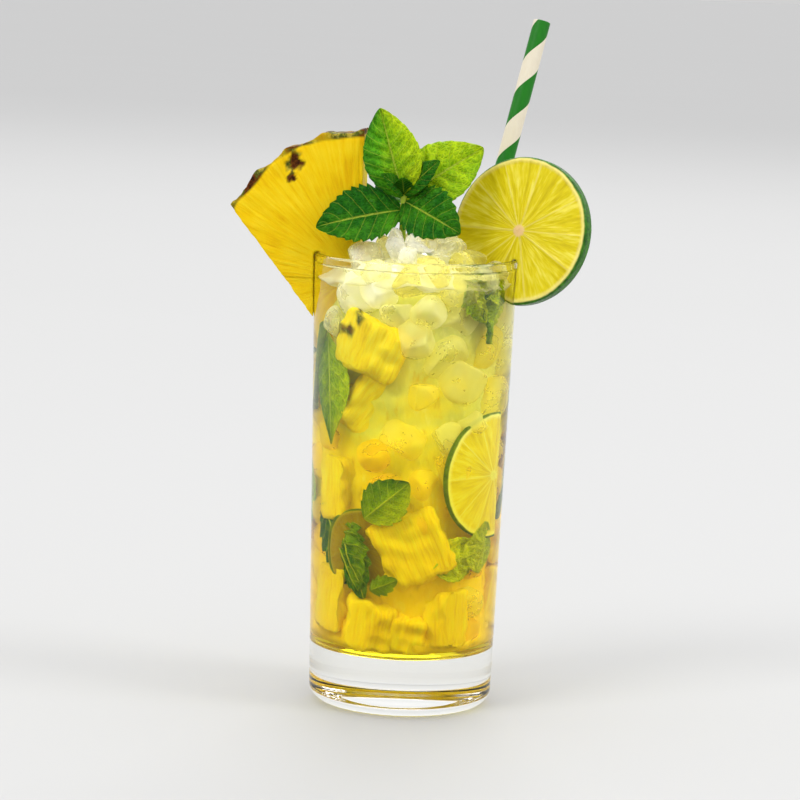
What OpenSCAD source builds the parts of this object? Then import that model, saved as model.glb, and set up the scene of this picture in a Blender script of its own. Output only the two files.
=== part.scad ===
/* [Glass] */
// Height of the glass from the table to its rim
glass_h = 156; // [130:1:190]
// Outer diameter of the glass at its rim
rim_d = 70; // [64:0.5:80]
// Outer diameter of the glass at its foot, before the corner is rounded
foot_d = 63.2; // [58:0.5:72]
// Thickness of the wall
wall = 2; // [1.4:0.1:3]
// Thickness of the heavy base under the drink
base_t = 20; // [12:0.5:26]
// Radius of the rounded corner round the foot
foot_round = 5.5; // [2:0.5:8]
// Radius of the corner inside, between floor and wall
floor_round = 5; // [2:0.5:8]
// Diameter of the shallow hollow underneath
hollow_d = 40; // [20:1:46]
// Depth of the hollow underneath, at its middle
hollow_depth = 1.8; // [0.5:0.1:4]

/* [Drink and ice] */
// Distance from the rim down to the top of the drink
drink_drop = 4; // [3:0.5:20]
// Distance from the rim down to the edge of the crushed ice
ice_drop = 2; // [1:0.5:3.5]
// Height of the heap of crushed ice above its edge
ice_crown = 10.5; // [3:0.5:16]
// Size of one lump of crushed ice
ice_lump = 11; // [7:0.5:18]
// How far the lumps stand out of the heap
ice_relief = 1.3; // [0.3:0.1:2]

/* [Pineapple wedge] */
// Diameter of the pineapple that the wedge is cut from
pineapple_d = 102; // [90:1:120]
// Thickness of the wedge
wedge_t = 14; // [8:0.5:20]
// Distance of the outer cut of the wedge from the pineapple's core line
wedge_chord = 21; // [14:0.5:26]
// Lean of the outer cut away from upright
wedge_lean = 39; // [30:1:46]
// Turn of the wedge round the glass, from the left towards the back
wedge_turn = 6; // [0:1:20]
// Distance of the pineapple's core line inside the rim's outer edge
wedge_in = 16.6; // [14:0.2:20]
// Height of the pineapple's core line below the rim
wedge_sink = 8.8; // [6:0.2:14]
// Length of the wedge that hangs into the glass, below the rim
wedge_tail = 34; // [26:1:40]
// How far the eyes of the rind stand out
rind_relief = 1.4; // [0.4:0.1:2.5]

/* [Lime wheel] */
// Diameter of the lime wheel
lime_d = 51; // [44:0.5:56]
// Thickness of the lime wheel
lime_t = 5.5; // [4:0.5:7]
// Radius of the rounded edge of its rind
lime_round = 1.2; // [0.5:0.1:1.9]
// Height of the wheel's centre above the rim
lime_lift = 9.6; // [6:0.2:14]
// Distance of the wheel's centre outside the rim's outer edge
lime_out = 1; // [-2:0.2:4]
// Turn of the wheel round the glass, from the right towards the front
lime_place = 4; // [0:1:20]
// Turn of the wheel about its upright line
lime_turn = 30; // [10:1:40]
// Lean of the wheel to the back
lime_lean = 10; // [0:1:16]
// Width of the cut from its centre to the rim
lime_cut = 0.8; // [0.4:0.1:1.5]

/* [Mint sprig] */
// Length of the longest leaf
leaf_l = 35; // [26:0.5:42]
// Width of the widest leaf
leaf_w = 21; // [15:0.5:26]
// Thickness of a leaf
leaf_t = 0.9; // [0.6:0.1:1.4]
// Rise of a leaf's edges above its midrib, for each unit of distance
leaf_fold = 0.22; // [0.05:0.01:0.4]
// Diameter of the stem
stem_d = 2.6; // [2:0.1:3.5]
// Place of the stem to the left of the glass's middle
stem_left = 5; // [0:0.5:10]
// Place of the stem in front of the glass's middle
stem_front = 9; // [4:0.5:14]
// Height of the top of the stem above the rim
stem_lift = 21; // [16:0.5:28]
// Length of the stem that goes down into the drink, below the rim
stem_tail = 30; // [20:1:50]

/* [Straw] */
// Outer diameter of the straw
straw_d = 6; // [5:0.5:8]
// Thickness of the straw's wall
straw_wall = 0.4; // [0.3:0.05:0.8]
// Length of the straw
straw_l = 225; // [200:1:240]
// Turn of the straw round the glass, from the right towards the back
straw_turn = 40; // [36:1:60]
// Distance of the straw's foot from the glass's middle, on the far side
straw_foot = 11; // [6:0.5:18]

/* [Hidden] */
$fn = 96;

// Clearance between pieces that rest on or in each other
fit_gap = 0.2;
// Steps in each rounded corner of a turned outline
corner_steps = 6;
// A depth that a cut runs past the surface it starts from
past = 1;

wall_lean = atan((rim_d - foot_d) / 2 / glass_h);
drink_top = glass_h - drink_drop;
ice_edge = glass_h - ice_drop;

// ---- Outlines of the glass, as [distance from the middle, height] ----

function outer_r(z) = foot_d / 2 + z * tan(wall_lean);
function inner_r(z) = outer_r(z) - wall;

// Points of an arc about a centre, from one angle to another
function arc(centre, r, from, to, steps = corner_steps) =
    [for (i = [0:steps]) let (a = from + (to - from) * i / steps) centre + r * [cos(a), sin(a)]];

// Middle of the corner between a floor and a wall, which both touch the corner's arc
function corner_centre(wall_r, floor_z, r) = [wall_r - r / cos(wall_lean), floor_z + r];

foot_centre = corner_centre(outer_r(foot_round), 0, foot_round);
floor_centre = corner_centre(inner_r(base_t + floor_round), base_t, floor_round);
lip_centre = [outer_r(glass_h - wall / 2) - wall / 2, glass_h - wall / 2];
hollow_r = (pow(hollow_d / 2, 2) + pow(hollow_depth, 2)) / (2 * hollow_depth);
hollow_half = asin(hollow_d / 2 / hollow_r);

// Foot corner and wall, up to a height, with the outline moved out by a clearance
function outside(gap, top) = concat(
    arc(foot_centre, foot_round + gap, -90, -wall_lean),
    [[outer_r(top) + gap, top]]);

// Floor corner and wall of the space inside, with the outline moved in by a clearance
function inside(gap, top) = concat(
    arc(floor_centre, floor_round - gap, -90, -wall_lean),
    [[inner_r(top) - gap, top]]);

function reversed(list) = [for (i = [len(list) - 1:-1:0]) list[i]];

module glass() {
    color([0.88, 0.93, 0.92, 0.35])
        rotate_extrude()
            polygon(concat(
                outside(0, lip_centre[1] - past),
                arc(lip_centre, wall / 2, -wall_lean, 180 - wall_lean),
                reversed(inside(0, lip_centre[1] - past)),
                [[0, base_t]],
                arc([0, hollow_depth - hollow_r], hollow_r, 90, 90 - hollow_half)));
}

// The space that the wall and its lip need in whatever is pushed over the rim
module wall_room() {
    rotate_extrude()
        polygon(concat(
            outside(fit_gap, lip_centre[1] - past),
            arc(lip_centre, wall / 2 + fit_gap, -wall_lean, 180 - wall_lean),
            reversed(inside(fit_gap, lip_centre[1] - past))));
}

// ---- Pineapple wedge: a flat outline, as [distance to the right, height], given a thickness ----

core_line = [wedge_in - rim_d / 2, glass_h - wedge_sink];
tail_z = glass_h - wedge_tail;
rind_eyes = 4;
eye_steps = 10;

// Distance to the right at which the outer cut meets a height
function outer_cut_x(z, grow) =
    core_line[0] - (wedge_chord + grow) / cos(wedge_lean) - (z - core_line[1]) * tan(wedge_lean);

// Radius of the rind, which peaks at the tip of each eye
function rind_r(eye, grow) =
    pineapple_d / 2 + grow + rind_relief * (pow(abs(cos(180 * eye)), 4) - 0.4);

// Angle about the core line at which the outer cut leaves the rind
function rind_start(grow) = 180 + wedge_lean - acos((wedge_chord + grow) / rind_r(0, grow));

function rind_points(grow) =
    [for (i = [0:rind_eyes * eye_steps])
        let (a = rind_start(grow) + (90 - rind_start(grow)) * i / (rind_eyes * eye_steps))
        core_line + [grow, 0] + rind_r(i / eye_steps, grow) * [cos(a), sin(a)]];

// The wedge before it is slit, grown by a clearance
module wedge_form(grow) {
    rotate([0, 0, -wedge_turn])
        rotate([90, 0, 0])
            linear_extrude(height = wedge_t + 2 * grow, center = true)
                polygon(concat(
                    [[outer_cut_x(tail_z - grow, grow), tail_z - grow]],
                    rind_points(grow),
                    [[core_line[0] + grow, tail_z - grow]]));
}

module pineapple_wedge() {
    color([0.96, 0.82, 0.10])
        difference() {
            wedge_form(0);
            wall_room();
        }
}

// ---- Lime wheel ----

// Puts what is drawn round the wheel's own centre where the wheel hangs
module at_lime() {
    rotate([0, 0, -lime_place])
        translate([rim_d / 2 + lime_out, 0, glass_h + lime_lift])
            rotate([-lime_lean, 0, lime_place - lime_turn])
                children();
}

// The wheel before it is slit, grown by a clearance
module lime_form(grow) {
    disc_r = lime_d / 2 + grow;
    half_t = lime_t / 2 + grow;
    rotate([90, 0, 0])
        rotate_extrude()
            polygon(concat(
                [[0, -half_t]],
                arc([disc_r - lime_round, lime_round - half_t], lime_round, -90, 0),
                arc([disc_r - lime_round, half_t - lime_round], lime_round, 0, 90),
                [[0, half_t]]));
}

// The cut from the wheel's centre down into the lip's room, along which the wheel is pushed on
module lime_slit() {
    drop = [lime_out + wall / 2, lime_lift + wall / 2];
    rotate([0, 0, -lime_place])
        translate([rim_d / 2 + lime_out, 0, glass_h + lime_lift])
            rotate([0, atan(drop[0] / drop[1]), 0])
                translate([-lime_cut / 2, -1.5 * lime_t, -norm(drop) - wall])
                    cube([lime_cut, 3 * lime_t, norm(drop) + wall]);
}

module lime_wheel() {
    color([0.80, 0.82, 0.14])
        difference() {
            at_lime() lime_form(0);
            lime_slit();
            wall_room();
        }
}

// ---- Mint sprig ----

// Leaves, as [drop below the top of the stem, direction, rise, roll, length, width],
// with the direction counted from the right towards the back, and length and width as shares
LEAVES = [
    [1, 168, 72, -82, 0.90, 0.92],
    [1, 12, 33, 66, 0.94, 0.86],
    [6, 190, -10, -54, 0.86, 0.90],
    [2, -34, -28, 58, 0.68, 0.84],
    [0, -16, 50, 60, 0.48, 0.46],
    [0, 212, 44, -50, 0.28, 0.34],
    [3, 88, 4, 10, 0.70, 0.74],
    [0, 75, 78, 20, 0.26, 0.26]];
leaf_steps = 10;
half_steps = 3;
edge_teeth = 6;
tip_w = 0.6;
leaf_droop = 0.12;

// Half the width of a leaf at a share of its length, with toothed edges
function leaf_half(s, w) =
    tip_w / 2 + w / 2 * pow(sin(180 * pow(s, 0.85)), 0.8) * (0.96 + 0.04 * cos(360 * edge_teeth * s));

// Point of the leaf's middle surface: s runs from base to tip, and t from edge to edge
function leaf_point(s, t, l, w) =
    let (across = t * leaf_half(s, w))
    [l * s, across, leaf_fold * abs(across) - leaf_droop * l * s * s];

module leaf(l, w) {
    across = 2 * half_steps + 1;
    count = (leaf_steps + 1) * across;
    sheet = [for (i = [0:leaf_steps]) for (j = [-half_steps:half_steps])
        leaf_point(i / leaf_steps, j / half_steps, l, w)];
    last = leaf_steps * across;
    upper = [for (i = [0:leaf_steps - 1]) for (j = [0:across - 2])
        let (k = i * across + j) for (f = [[k, k + 1, k + across], [k + 1, k + across + 1, k + across]]) f];
    rim = concat(
        [for (j = [0:across - 1]) j],
        [for (i = [1:leaf_steps]) i * across + across - 1],
        [for (j = [across - 2:-1:0]) last + j],
        [for (i = [leaf_steps - 1:-1:1]) i * across]);
    polyhedron(
        points = concat(
            [for (p = sheet) p + [0, 0, leaf_t / 2]],
            [for (p = sheet) p - [0, 0, leaf_t / 2]]),
        faces = concat(
            upper,
            [for (f = upper) [f[2] + count, f[1] + count, f[0] + count]],
            [for (n = [0:len(rim) - 1])
                let (a = rim[n], b = rim[(n + 1) % len(rim)])
                for (f = [[b, a, a + count], [b, a + count, b + count]]) f]));
}

// The stem, grown by a clearance
module stem_form(grow) {
    translate([-stem_left, -stem_front, glass_h - stem_tail - grow])
        cylinder(h = stem_tail + stem_lift + grow, d = stem_d + 2 * grow);
}

module mint_sprig() {
    color([0.16, 0.45, 0.10]) {
        stem_form(0);
        for (row = LEAVES)
            translate([-stem_left, -stem_front, glass_h + stem_lift - row[0]])
                rotate([row[3], -row[2], row[1]])
                    leaf(leaf_l * row[4], leaf_w * row[5]);
    }
}

// ---- Straw ----

lip_r = inner_r(glass_h) - fit_gap;
straw_rise = glass_h - base_t;
// The straw is leant once for its axis alone, and again for its own thickness
straw_lean0 = atan((lip_r - straw_d / 2 + straw_foot) / straw_rise);
straw_lean = atan((lip_r - straw_d / 2 / cos(straw_lean0) + straw_foot) / straw_rise);

// Puts what is drawn up from the straw's foot where the straw stands
module at_straw() {
    rotate([0, 0, straw_turn])
        translate([-straw_foot, 0, base_t + fit_gap + straw_d / 2 * sin(straw_lean)])
            rotate([0, straw_lean, 0])
                children();
}

module straw() {
    color([0.90, 0.88, 0.80])
        at_straw()
            difference() {
                cylinder(h = straw_l, d = straw_d);
                translate([0, 0, -past])
                    cylinder(h = straw_l + 2 * past, d = straw_d - 2 * straw_wall);
            }
}

// ---- Drink and crushed ice ----

// The space that the garnish and the straw need in the drink and the ice
module garnish_room() {
    wedge_form(fit_gap);
    at_lime() lime_form(fit_gap);
    stem_form(fit_gap);
    at_straw() translate([0, 0, -straw_d]) cylinder(h = straw_l, d = straw_d + 2 * fit_gap);
}

module drink() {
    color([0.93, 0.83, 0.12, 0.8])
        difference() {
            rotate_extrude()
                polygon(concat(
                    [[0, base_t + fit_gap]],
                    inside(fit_gap, drink_top),
                    [[0, drink_top]]));
            garnish_room();
        }
}

ice_rings = 9;
ice_sectors = 40;

// Height of the top of the ice at a share of the way out, in one direction
function ice_z(share, a) =
    let (r = share * inner_r(ice_edge), x = r * cos(a), y = r * sin(a), pitch = 360 / ice_lump)
    ice_edge + ice_crown * (1 - pow(share, 2))
    + ice_relief * sin(pitch * x + 40 * sin(pitch * y / 2)) * cos(pitch * y + 50 * sin(pitch * x / 3));

// The heap of crushed ice: a bottom that lies on the drink, and a top with uneven lumps
module ice_heap() {
    bottom_r = inner_r(drink_top) - fit_gap;
    top_r = inner_r(ice_edge) - fit_gap;
    centre = ice_rings * ice_sectors;
    foot = centre + 1;
    function at(ring, i) = ring * ice_sectors + i % ice_sectors;
    polyhedron(
        points = concat(
            [for (ring = [1:ice_rings]) for (i = [0:ice_sectors - 1])
                let (share = ring / ice_rings, a = 360 * i / ice_sectors)
                [share * top_r * cos(a), share * top_r * sin(a), ice_z(share, a)]],
            [[0, 0, ice_z(0, 0)]],
            [for (i = [0:ice_sectors - 1]) let (a = 360 * i / ice_sectors)
                [bottom_r * cos(a), bottom_r * sin(a), drink_top]]),
        faces = concat(
            [for (i = [0:ice_sectors - 1]) [centre, at(0, i + 1), at(0, i)]],
            [for (ring = [0:ice_rings - 2]) for (i = [0:ice_sectors - 1])
                for (f = [[at(ring, i), at(ring, i + 1), at(ring + 1, i)],
                          [at(ring, i + 1), at(ring + 1, i + 1), at(ring + 1, i)]]) f],
            [for (i = [0:ice_sectors - 1])
                let (upper = at(ice_rings - 1, i), upper_next = at(ice_rings - 1, i + 1))
                for (f = [[upper, upper_next, foot + i],
                          [upper_next, foot + (i + 1) % ice_sectors, foot + i]]) f],
            [[for (i = [0:ice_sectors - 1]) foot + i]]));
}

module crushed_ice() {
    color([0.92, 0.95, 0.86, 0.9])
        difference() {
            ice_heap();
            garnish_room();
        }
}

glass();
drink();
crushed_ice();
pineapple_wedge();
lime_wheel();
mint_sprig();
straw();
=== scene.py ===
"""A mojito in its tall glass, dressed for show.

The construction fixes every place and size. This script turns, cuts and shapes the visible pieces:
the glass, the drink with all that is sunk in it, the heap of crushed ice, the fruit, the mint and
the straw. Sizes are in millimetres, and each mesh is brought to metres when it is finished.
"""
import logging
import math
import random
from collections.abc import Callable, Iterable, Sequence
from dataclasses import dataclass, field
from enum import Enum

import bmesh
import bpy
from mathutils import Matrix, Vector, noise
from mathutils.bvhtree import BVHTree


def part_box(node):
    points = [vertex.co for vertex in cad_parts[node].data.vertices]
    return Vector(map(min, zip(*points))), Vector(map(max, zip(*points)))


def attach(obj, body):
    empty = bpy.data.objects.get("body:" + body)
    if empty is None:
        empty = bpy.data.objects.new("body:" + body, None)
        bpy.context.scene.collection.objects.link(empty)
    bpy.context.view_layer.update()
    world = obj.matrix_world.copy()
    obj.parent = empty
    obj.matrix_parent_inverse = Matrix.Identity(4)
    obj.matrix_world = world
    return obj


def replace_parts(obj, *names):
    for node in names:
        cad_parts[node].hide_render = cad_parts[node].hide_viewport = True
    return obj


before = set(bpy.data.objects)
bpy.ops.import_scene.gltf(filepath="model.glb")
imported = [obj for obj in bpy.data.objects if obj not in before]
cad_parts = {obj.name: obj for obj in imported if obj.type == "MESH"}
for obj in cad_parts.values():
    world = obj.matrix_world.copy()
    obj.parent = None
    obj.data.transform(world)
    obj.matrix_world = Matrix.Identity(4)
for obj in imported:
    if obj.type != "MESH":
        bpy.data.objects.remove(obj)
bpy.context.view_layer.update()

MM = 0.001
# The last step at each end of a stretch, in millimetres. It keeps the shading of its edges crisp.
END_STEP = 0.3
# The share and the two colours among the inputs of a colour Mix node, and its colour output.
MIX_COLOUR_INPUTS = (0, 6, 7)
MIX_COLOUR_OUTPUT = 2
# The vector noise follows the clock unless it is given a seed.
NOISE_SEED = 1
LOG = logging.getLogger("mojito")
Colour = tuple[float, float, float]
Point = tuple[float, float]
Socket = bpy.types.NodeSocket
# The juice segments of a lime.
SEGMENTS = 10


# ---------------------------------------------------------------------------------------------
# Shaders
# ---------------------------------------------------------------------------------------------


class Recipe:
    """One material and the nodes that make it."""

    def __init__(self, name: str) -> None:
        """Start an empty material.

        Args:
            name: The material's name.
        """
        self.material = bpy.data.materials.new(name)
        self.material.use_nodes = True
        self.tree = self.material.node_tree
        self.tree.nodes.clear()

    def add(
            self, kind: str, inputs: dict | None = None, out: int | str = 0, **settings: object,
    ) -> Socket:
        """Add a node.

        Args:
            kind: The node's type, without its ShaderNode prefix.
            inputs: A value or another node's socket for each input, by name or number.
            out: The output that is wanted.
            **settings: Properties of the node.

        Returns:
            The wanted output.
        """
        node = self.tree.nodes.new("ShaderNode" + kind)
        for name, value in settings.items():
            setattr(node, name, value)
        for name, value in (inputs or {}).items():
            if isinstance(value, Socket):
                self.tree.links.new(value, node.inputs[name])
            elif isinstance(value, tuple) and len(value) == 3 and node.inputs[name].type == "RGBA":
                node.inputs[name].default_value = (*value, 1.0)
            else:
                node.inputs[name].default_value = value
        return node.outputs[out]

    def place(self, scale: Sequence[float] = (1.0, 1.0, 1.0)) -> Socket:
        """Object coordinates in millimetres, stretched.

        Args:
            scale: Stretch along each axis.

        Returns:
            The coordinates.
        """
        at = self.add("TexCoord", out="Object")
        return self.add("Mapping", {"Vector": at, "Scale": tuple(s / MM for s in scale)})

    def parts(self, vector: Socket) -> tuple[Socket, Socket, Socket]:
        """The three numbers of a vector.

        Args:
            vector: The vector.

        Returns:
            Its X, Y and Z.
        """
        node = self.tree.nodes.new("ShaderNodeSeparateXYZ")
        self.tree.links.new(vector, node.inputs[0])
        return node.outputs[0], node.outputs[1], node.outputs[2]

    def pattern(self) -> tuple[Socket, Socket, Socket]:
        """The piece's own pattern coordinates, as three numbers."""
        at = self.add("Attribute", out="Vector", attribute_name="pattern", attribute_type="GEOMETRY")
        return self.parts(at)

    def join(self, x: Socket | float, y: Socket | float, z: Socket | float = 0.0) -> Socket:
        """A vector from three numbers.

        Args:
            x: The first number.
            y: The second number.
            z: The third number.

        Returns:
            The vector.
        """
        return self.add("CombineXYZ", {0: x, 1: y, 2: z})

    def maths(
            self, operation: str, a: Socket | float, b: Socket | float = 0.0, clamp: bool = False,
    ) -> Socket:
        """Work on one or two numbers.

        Args:
            operation: What is done, such as POWER or SINE.
            a: The first number.
            b: The second number.
            clamp: Whether the answer is held between 0 and 1.

        Returns:
            The answer.
        """
        return self.add("Math", {0: a, 1: b}, operation=operation, use_clamp=clamp)

    def plus(self, a: Socket | float, b: Socket | float) -> Socket:
        """One number and another.

        Args:
            a: The first number.
            b: The second number.

        Returns:
            Their sum.
        """
        return self.maths("ADD", a, b)

    def minus(self, a: Socket | float, b: Socket | float, clamp: bool = False) -> Socket:
        """One number without another.

        Args:
            a: The first number.
            b: The second number.
            clamp: Whether the answer is held between 0 and 1.

        Returns:
            The first without the second.
        """
        return self.maths("SUBTRACT", a, b, clamp)

    def times(self, a: Socket | float, b: Socket | float) -> Socket:
        """One number times another.

        Args:
            a: The first number.
            b: The second number.

        Returns:
            Their product.
        """
        return self.maths("MULTIPLY", a, b)

    def noise(self, at: Socket, scale: float, detail: float = 4.0, rough: float = 0.55) -> Socket:
        """Cloudy noise from 0 to 1 at a scale, in cycles for each unit.

        Args:
            at: Where it is read, in the pattern's own units.
            scale: Cycles for each unit.
            detail: How many finer layers it has.
            rough: How strong the finer layers are.

        Returns:
            A number from 0 to 1.
        """
        return self.add("TexNoise", {"Vector": at, "Scale": scale, "Detail": detail, "Roughness": rough})

    def drift(self, at: Socket, scale: float, detail: float, width: float) -> Socket:
        """Noise that drifts to both sides of 0.

        Args:
            at: Where it is read, in the pattern's own units.
            scale: Cycles for each unit.
            detail: How many finer layers it has.
            width: How far it reaches in all.

        Returns:
            A number to either side of 0.
        """
        return self.times(self.minus(self.noise(at, scale, detail), 0.5), width)

    def cells(self, at: Socket, scale: float, feature: str = "F1") -> Socket:
        """Distance to the middle or the edge of irregular cells.

        Args:
            at: Where it is read, in the pattern's own units.
            scale: Cells for each unit.
            feature: F1 for their middles, DISTANCE_TO_EDGE for their edges.

        Returns:
            The distance.
        """
        return self.add("TexVoronoi", {"Vector": at, "Scale": scale}, feature=feature, out="Distance")

    def between(
            self, value: Socket, low: float, high: float, start: float = 0.0, stop: float = 1.0,
    ) -> Socket:
        """A number brought smoothly from one range to another, and held inside it.

        Args:
            value: The number.
            low: Where the first range starts.
            high: Where it ends, which may be the lower.
            start: What the start becomes.
            stop: What the end becomes.

        Returns:
            The number in the new range.
        """
        inputs = {"Value": value, "From Min": low, "From Max": high, "To Min": start, "To Max": stop}
        return self.add("MapRange", inputs, interpolation_type="SMOOTHSTEP")

    def mix(self, share: Socket | float, a: Socket | Colour, b: Socket | Colour, kind: str = "MIX") -> Socket:
        """Two colours mixed by a share.

        Args:
            share: The share of the second colour.
            a: The first colour.
            b: The second colour.
            kind: How they are mixed.

        Returns:
            The mixed colour.
        """
        node = self.tree.nodes.new("ShaderNodeMix")
        node.data_type = "RGBA"
        node.blend_type = kind
        for number, value in zip(MIX_COLOUR_INPUTS, (share, a, b)):
            socket = node.inputs[number]
            if isinstance(value, Socket):
                self.tree.links.new(value, socket)
            else:
                socket.default_value = (*value, 1.0) if isinstance(value, tuple) else value
        return node.outputs[MIX_COLOUR_OUTPUT]

    def ramp(self, value: Socket, stops: Sequence[tuple[float, Colour]]) -> Socket:
        """Colours laid along a number from 0 to 1.

        Args:
            value: The number.
            stops: The places along it and their colours, in order.

        Returns:
            The colour.
        """
        node = self.tree.nodes.new("ShaderNodeValToRGB")
        self.tree.links.new(value, node.inputs[0])
        while len(node.color_ramp.elements) < len(stops):
            node.color_ramp.elements.new(1.0)
        for element, (position, colour) in zip(node.color_ramp.elements, stops):
            element.position = position
            element.color = (*colour, 1.0)
        return node.outputs[0]

    def bump(self, height: Socket, depth: float, under: Socket | None = None) -> Socket:
        """Fine relief from a height of 0 to 1.

        Args:
            height: The height.
            depth: What a height of 1 stands for, in millimetres.
            under: Coarser relief that this one lies on.

        Returns:
            The bent normal.
        """
        inputs = {"Height": height, "Distance": depth * MM, "Strength": 1.0}
        if under is not None:
            inputs["Normal"] = under
        return self.add("Bump", inputs)

    def body(self, sockets: dict[str, object]) -> Socket:
        """A Principled shader.

        Args:
            sockets: Its values and sockets, with _ for a space in a name.

        Returns:
            The shader.
        """
        return self.add("BsdfPrincipled", {name.replace("_", " "): value for name, value in sockets.items()})

    def surface(self, **sockets: object) -> bpy.types.Material:
        """Close the recipe with a Principled surface.

        Args:
            **sockets: Values or sockets for the surface, with _ for a space in a name.

        Returns:
            The material.
        """
        return self.close(self.body(sockets))

    def close(self, shader: Socket) -> bpy.types.Material:
        """End the recipe with a finished shader.

        Args:
            shader: The shader.

        Returns:
            The material.
        """
        end = self.tree.nodes.new("ShaderNodeOutputMaterial")
        self.tree.links.new(shader, end.inputs["Surface"])
        return self.material

    def clear_surface(self, cast: Socket | Colour, **sockets: object) -> bpy.types.Material:
        """Close the recipe with a clear surface that light passes on its way to what is behind it.

        Args:
            cast: The tint of the light that passes.
            **sockets: Values or sockets for the surface, with _ for a space in a name.

        Returns:
            The material.
        """
        passed = self.add("BsdfTransparent", {"Color": cast})
        is_shadow = self.add("LightPath", out="Is Shadow Ray")
        return self.close(self.add("MixShader", {0: is_shadow, 1: self.body(sockets), 2: passed}))


@dataclass(frozen=True)
class ClearGlass:
    """Clear polished soda glass."""

    tint: Colour = (0.985, 0.99, 0.97)
    ior: float = 1.5
    reflection: Colour = (0.45, 0.45, 0.36)
    cast: Colour = (0.98, 0.985, 0.975)

    def material(self) -> bpy.types.Material:
        """The glass's material."""
        recipe = Recipe("clear_glass")
        waves = recipe.noise(recipe.place((0.05, 0.05, 0.02)), 1.0, 1.0)
        return recipe.clear_surface(
            self.cast, Base_Color=self.tint, Roughness=0.0, IOR=self.ior, Transmission_Weight=1.0,
            Specular_Tint=self.reflection, Normal=recipe.bump(waves, 0.06))


@dataclass(frozen=True)
class Mojito:
    """The drink, nearly clear at the top and deep yellow near the floor."""

    shades: tuple[tuple[float, Colour], ...] = (
        (0.0, (0.99, 0.84, 0.02)), (0.45, (0.99, 0.93, 0.10)), (0.80, (0.98, 0.975, 0.45)),
        (1.0, (0.99, 0.99, 0.84)))
    cast: tuple[tuple[float, Colour], ...] = (
        (0.0, (1.0, 0.99, 0.55)), (0.6, (1.0, 0.99, 0.70)), (1.0, (1.0, 1.0, 0.94)))
    span: Point = (40.0, 165.0)
    ior: float = 1.333
    reflection: Colour = (0.12, 0.12, 0.08)

    def material(self) -> bpy.types.Material:
        """The drink's material."""
        recipe = Recipe("drink")
        at = recipe.place()
        lift = recipe.times(recipe.noise(at, 0.05, 2.0), 30.0)
        level = recipe.between(recipe.plus(recipe.parts(at)[2], lift), *self.span)
        return recipe.clear_surface(
            recipe.ramp(level, self.cast), Base_Color=recipe.ramp(level, self.shades), Roughness=0.0,
            IOR=self.ior, Transmission_Weight=1.0, Specular_Tint=self.reflection)


@dataclass(frozen=True)
class Ice:
    """Wet ice with a cloudy heart. The pattern holds each lump's tone, from the drink's yellow to white."""

    name: str
    ior: float = 1.31
    clearness: float = 0.95
    cloud_share: float = 0.35
    rough: float = 0.08
    relief: float = 0.25
    shades: tuple[tuple[float, Colour], ...] = (
        (0.0, (0.95, 0.72, 0.01)), (0.3, (0.93, 0.80, 0.07)), (0.62, (0.88, 0.84, 0.34)),
        (1.0, (0.97, 0.96, 0.86)))
    cast: Colour = (1.0, 1.0, 0.92)
    reflection: Colour = (0.6, 0.6, 0.5)

    def material(self) -> bpy.types.Material:
        """The ice's material."""
        recipe = Recipe(self.name)
        at = recipe.place()
        tone, _, _ = recipe.pattern()
        cloud = recipe.between(recipe.noise(at, 0.11, 4.0, 0.6), 0.36, 0.66)
        colour = recipe.ramp(recipe.plus(tone, recipe.drift(at, 0.06, 2.0, 0.5)), self.shades)
        clearness = recipe.minus(self.clearness, recipe.times(cloud, self.cloud_share), clamp=True)
        return recipe.clear_surface(
            self.cast, Base_Color=colour, IOR=self.ior, Transmission_Weight=clearness,
            Roughness=recipe.plus(self.rough, recipe.times(cloud, 0.25)),
            Specular_Tint=self.reflection, Normal=recipe.bump(recipe.noise(at, 0.16, 1.5), self.relief))


@dataclass(frozen=True)
class MuddledPulp:
    """Crushed fruit pulp, golden low down and pale and greenish higher up."""

    shades: tuple[tuple[float, Colour], ...] = (
        (0.0, (0.96, 0.69, 0.004)), (0.30, (0.95, 0.72, 0.008)), (0.52, (0.90, 0.74, 0.04)),
        (0.74, (0.74, 0.68, 0.12)), (1.0, (0.60, 0.60, 0.16)))
    light_shred: Colour = (0.98, 0.92, 0.34)
    dark_shred: Colour = (0.70, 0.47, 0.003)
    span: Point = (20.0, 160.0)

    def material(self) -> bpy.types.Material:
        """The pulp's material."""
        recipe = Recipe("fruit_pulp")
        at = recipe.place()
        height = recipe.plus(recipe.parts(at)[2], recipe.drift(at, 0.055, 3.0, 130.0))
        level = recipe.between(height, *self.span)
        shreds = recipe.noise(recipe.place((0.30, 0.30, 0.12)), 1.0, 5.0, 0.6)
        colour = recipe.ramp(level, self.shades)
        colour = recipe.mix(recipe.between(shreds, 0.55, 0.75, 0.0, 0.45), colour, self.light_shred)
        colour = recipe.mix(recipe.between(shreds, 0.44, 0.28, 0.0, 0.7), colour, self.dark_shred)
        return recipe.surface(
            Base_Color=colour, Roughness=0.6, IOR=1.35, Subsurface_Weight=0.2,
            Subsurface_Radius=(4.0, 3.2, 0.6), Subsurface_Scale=MM, Specular_IOR_Level=0.02,
            Normal=recipe.bump(shreds, 0.6))


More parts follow.
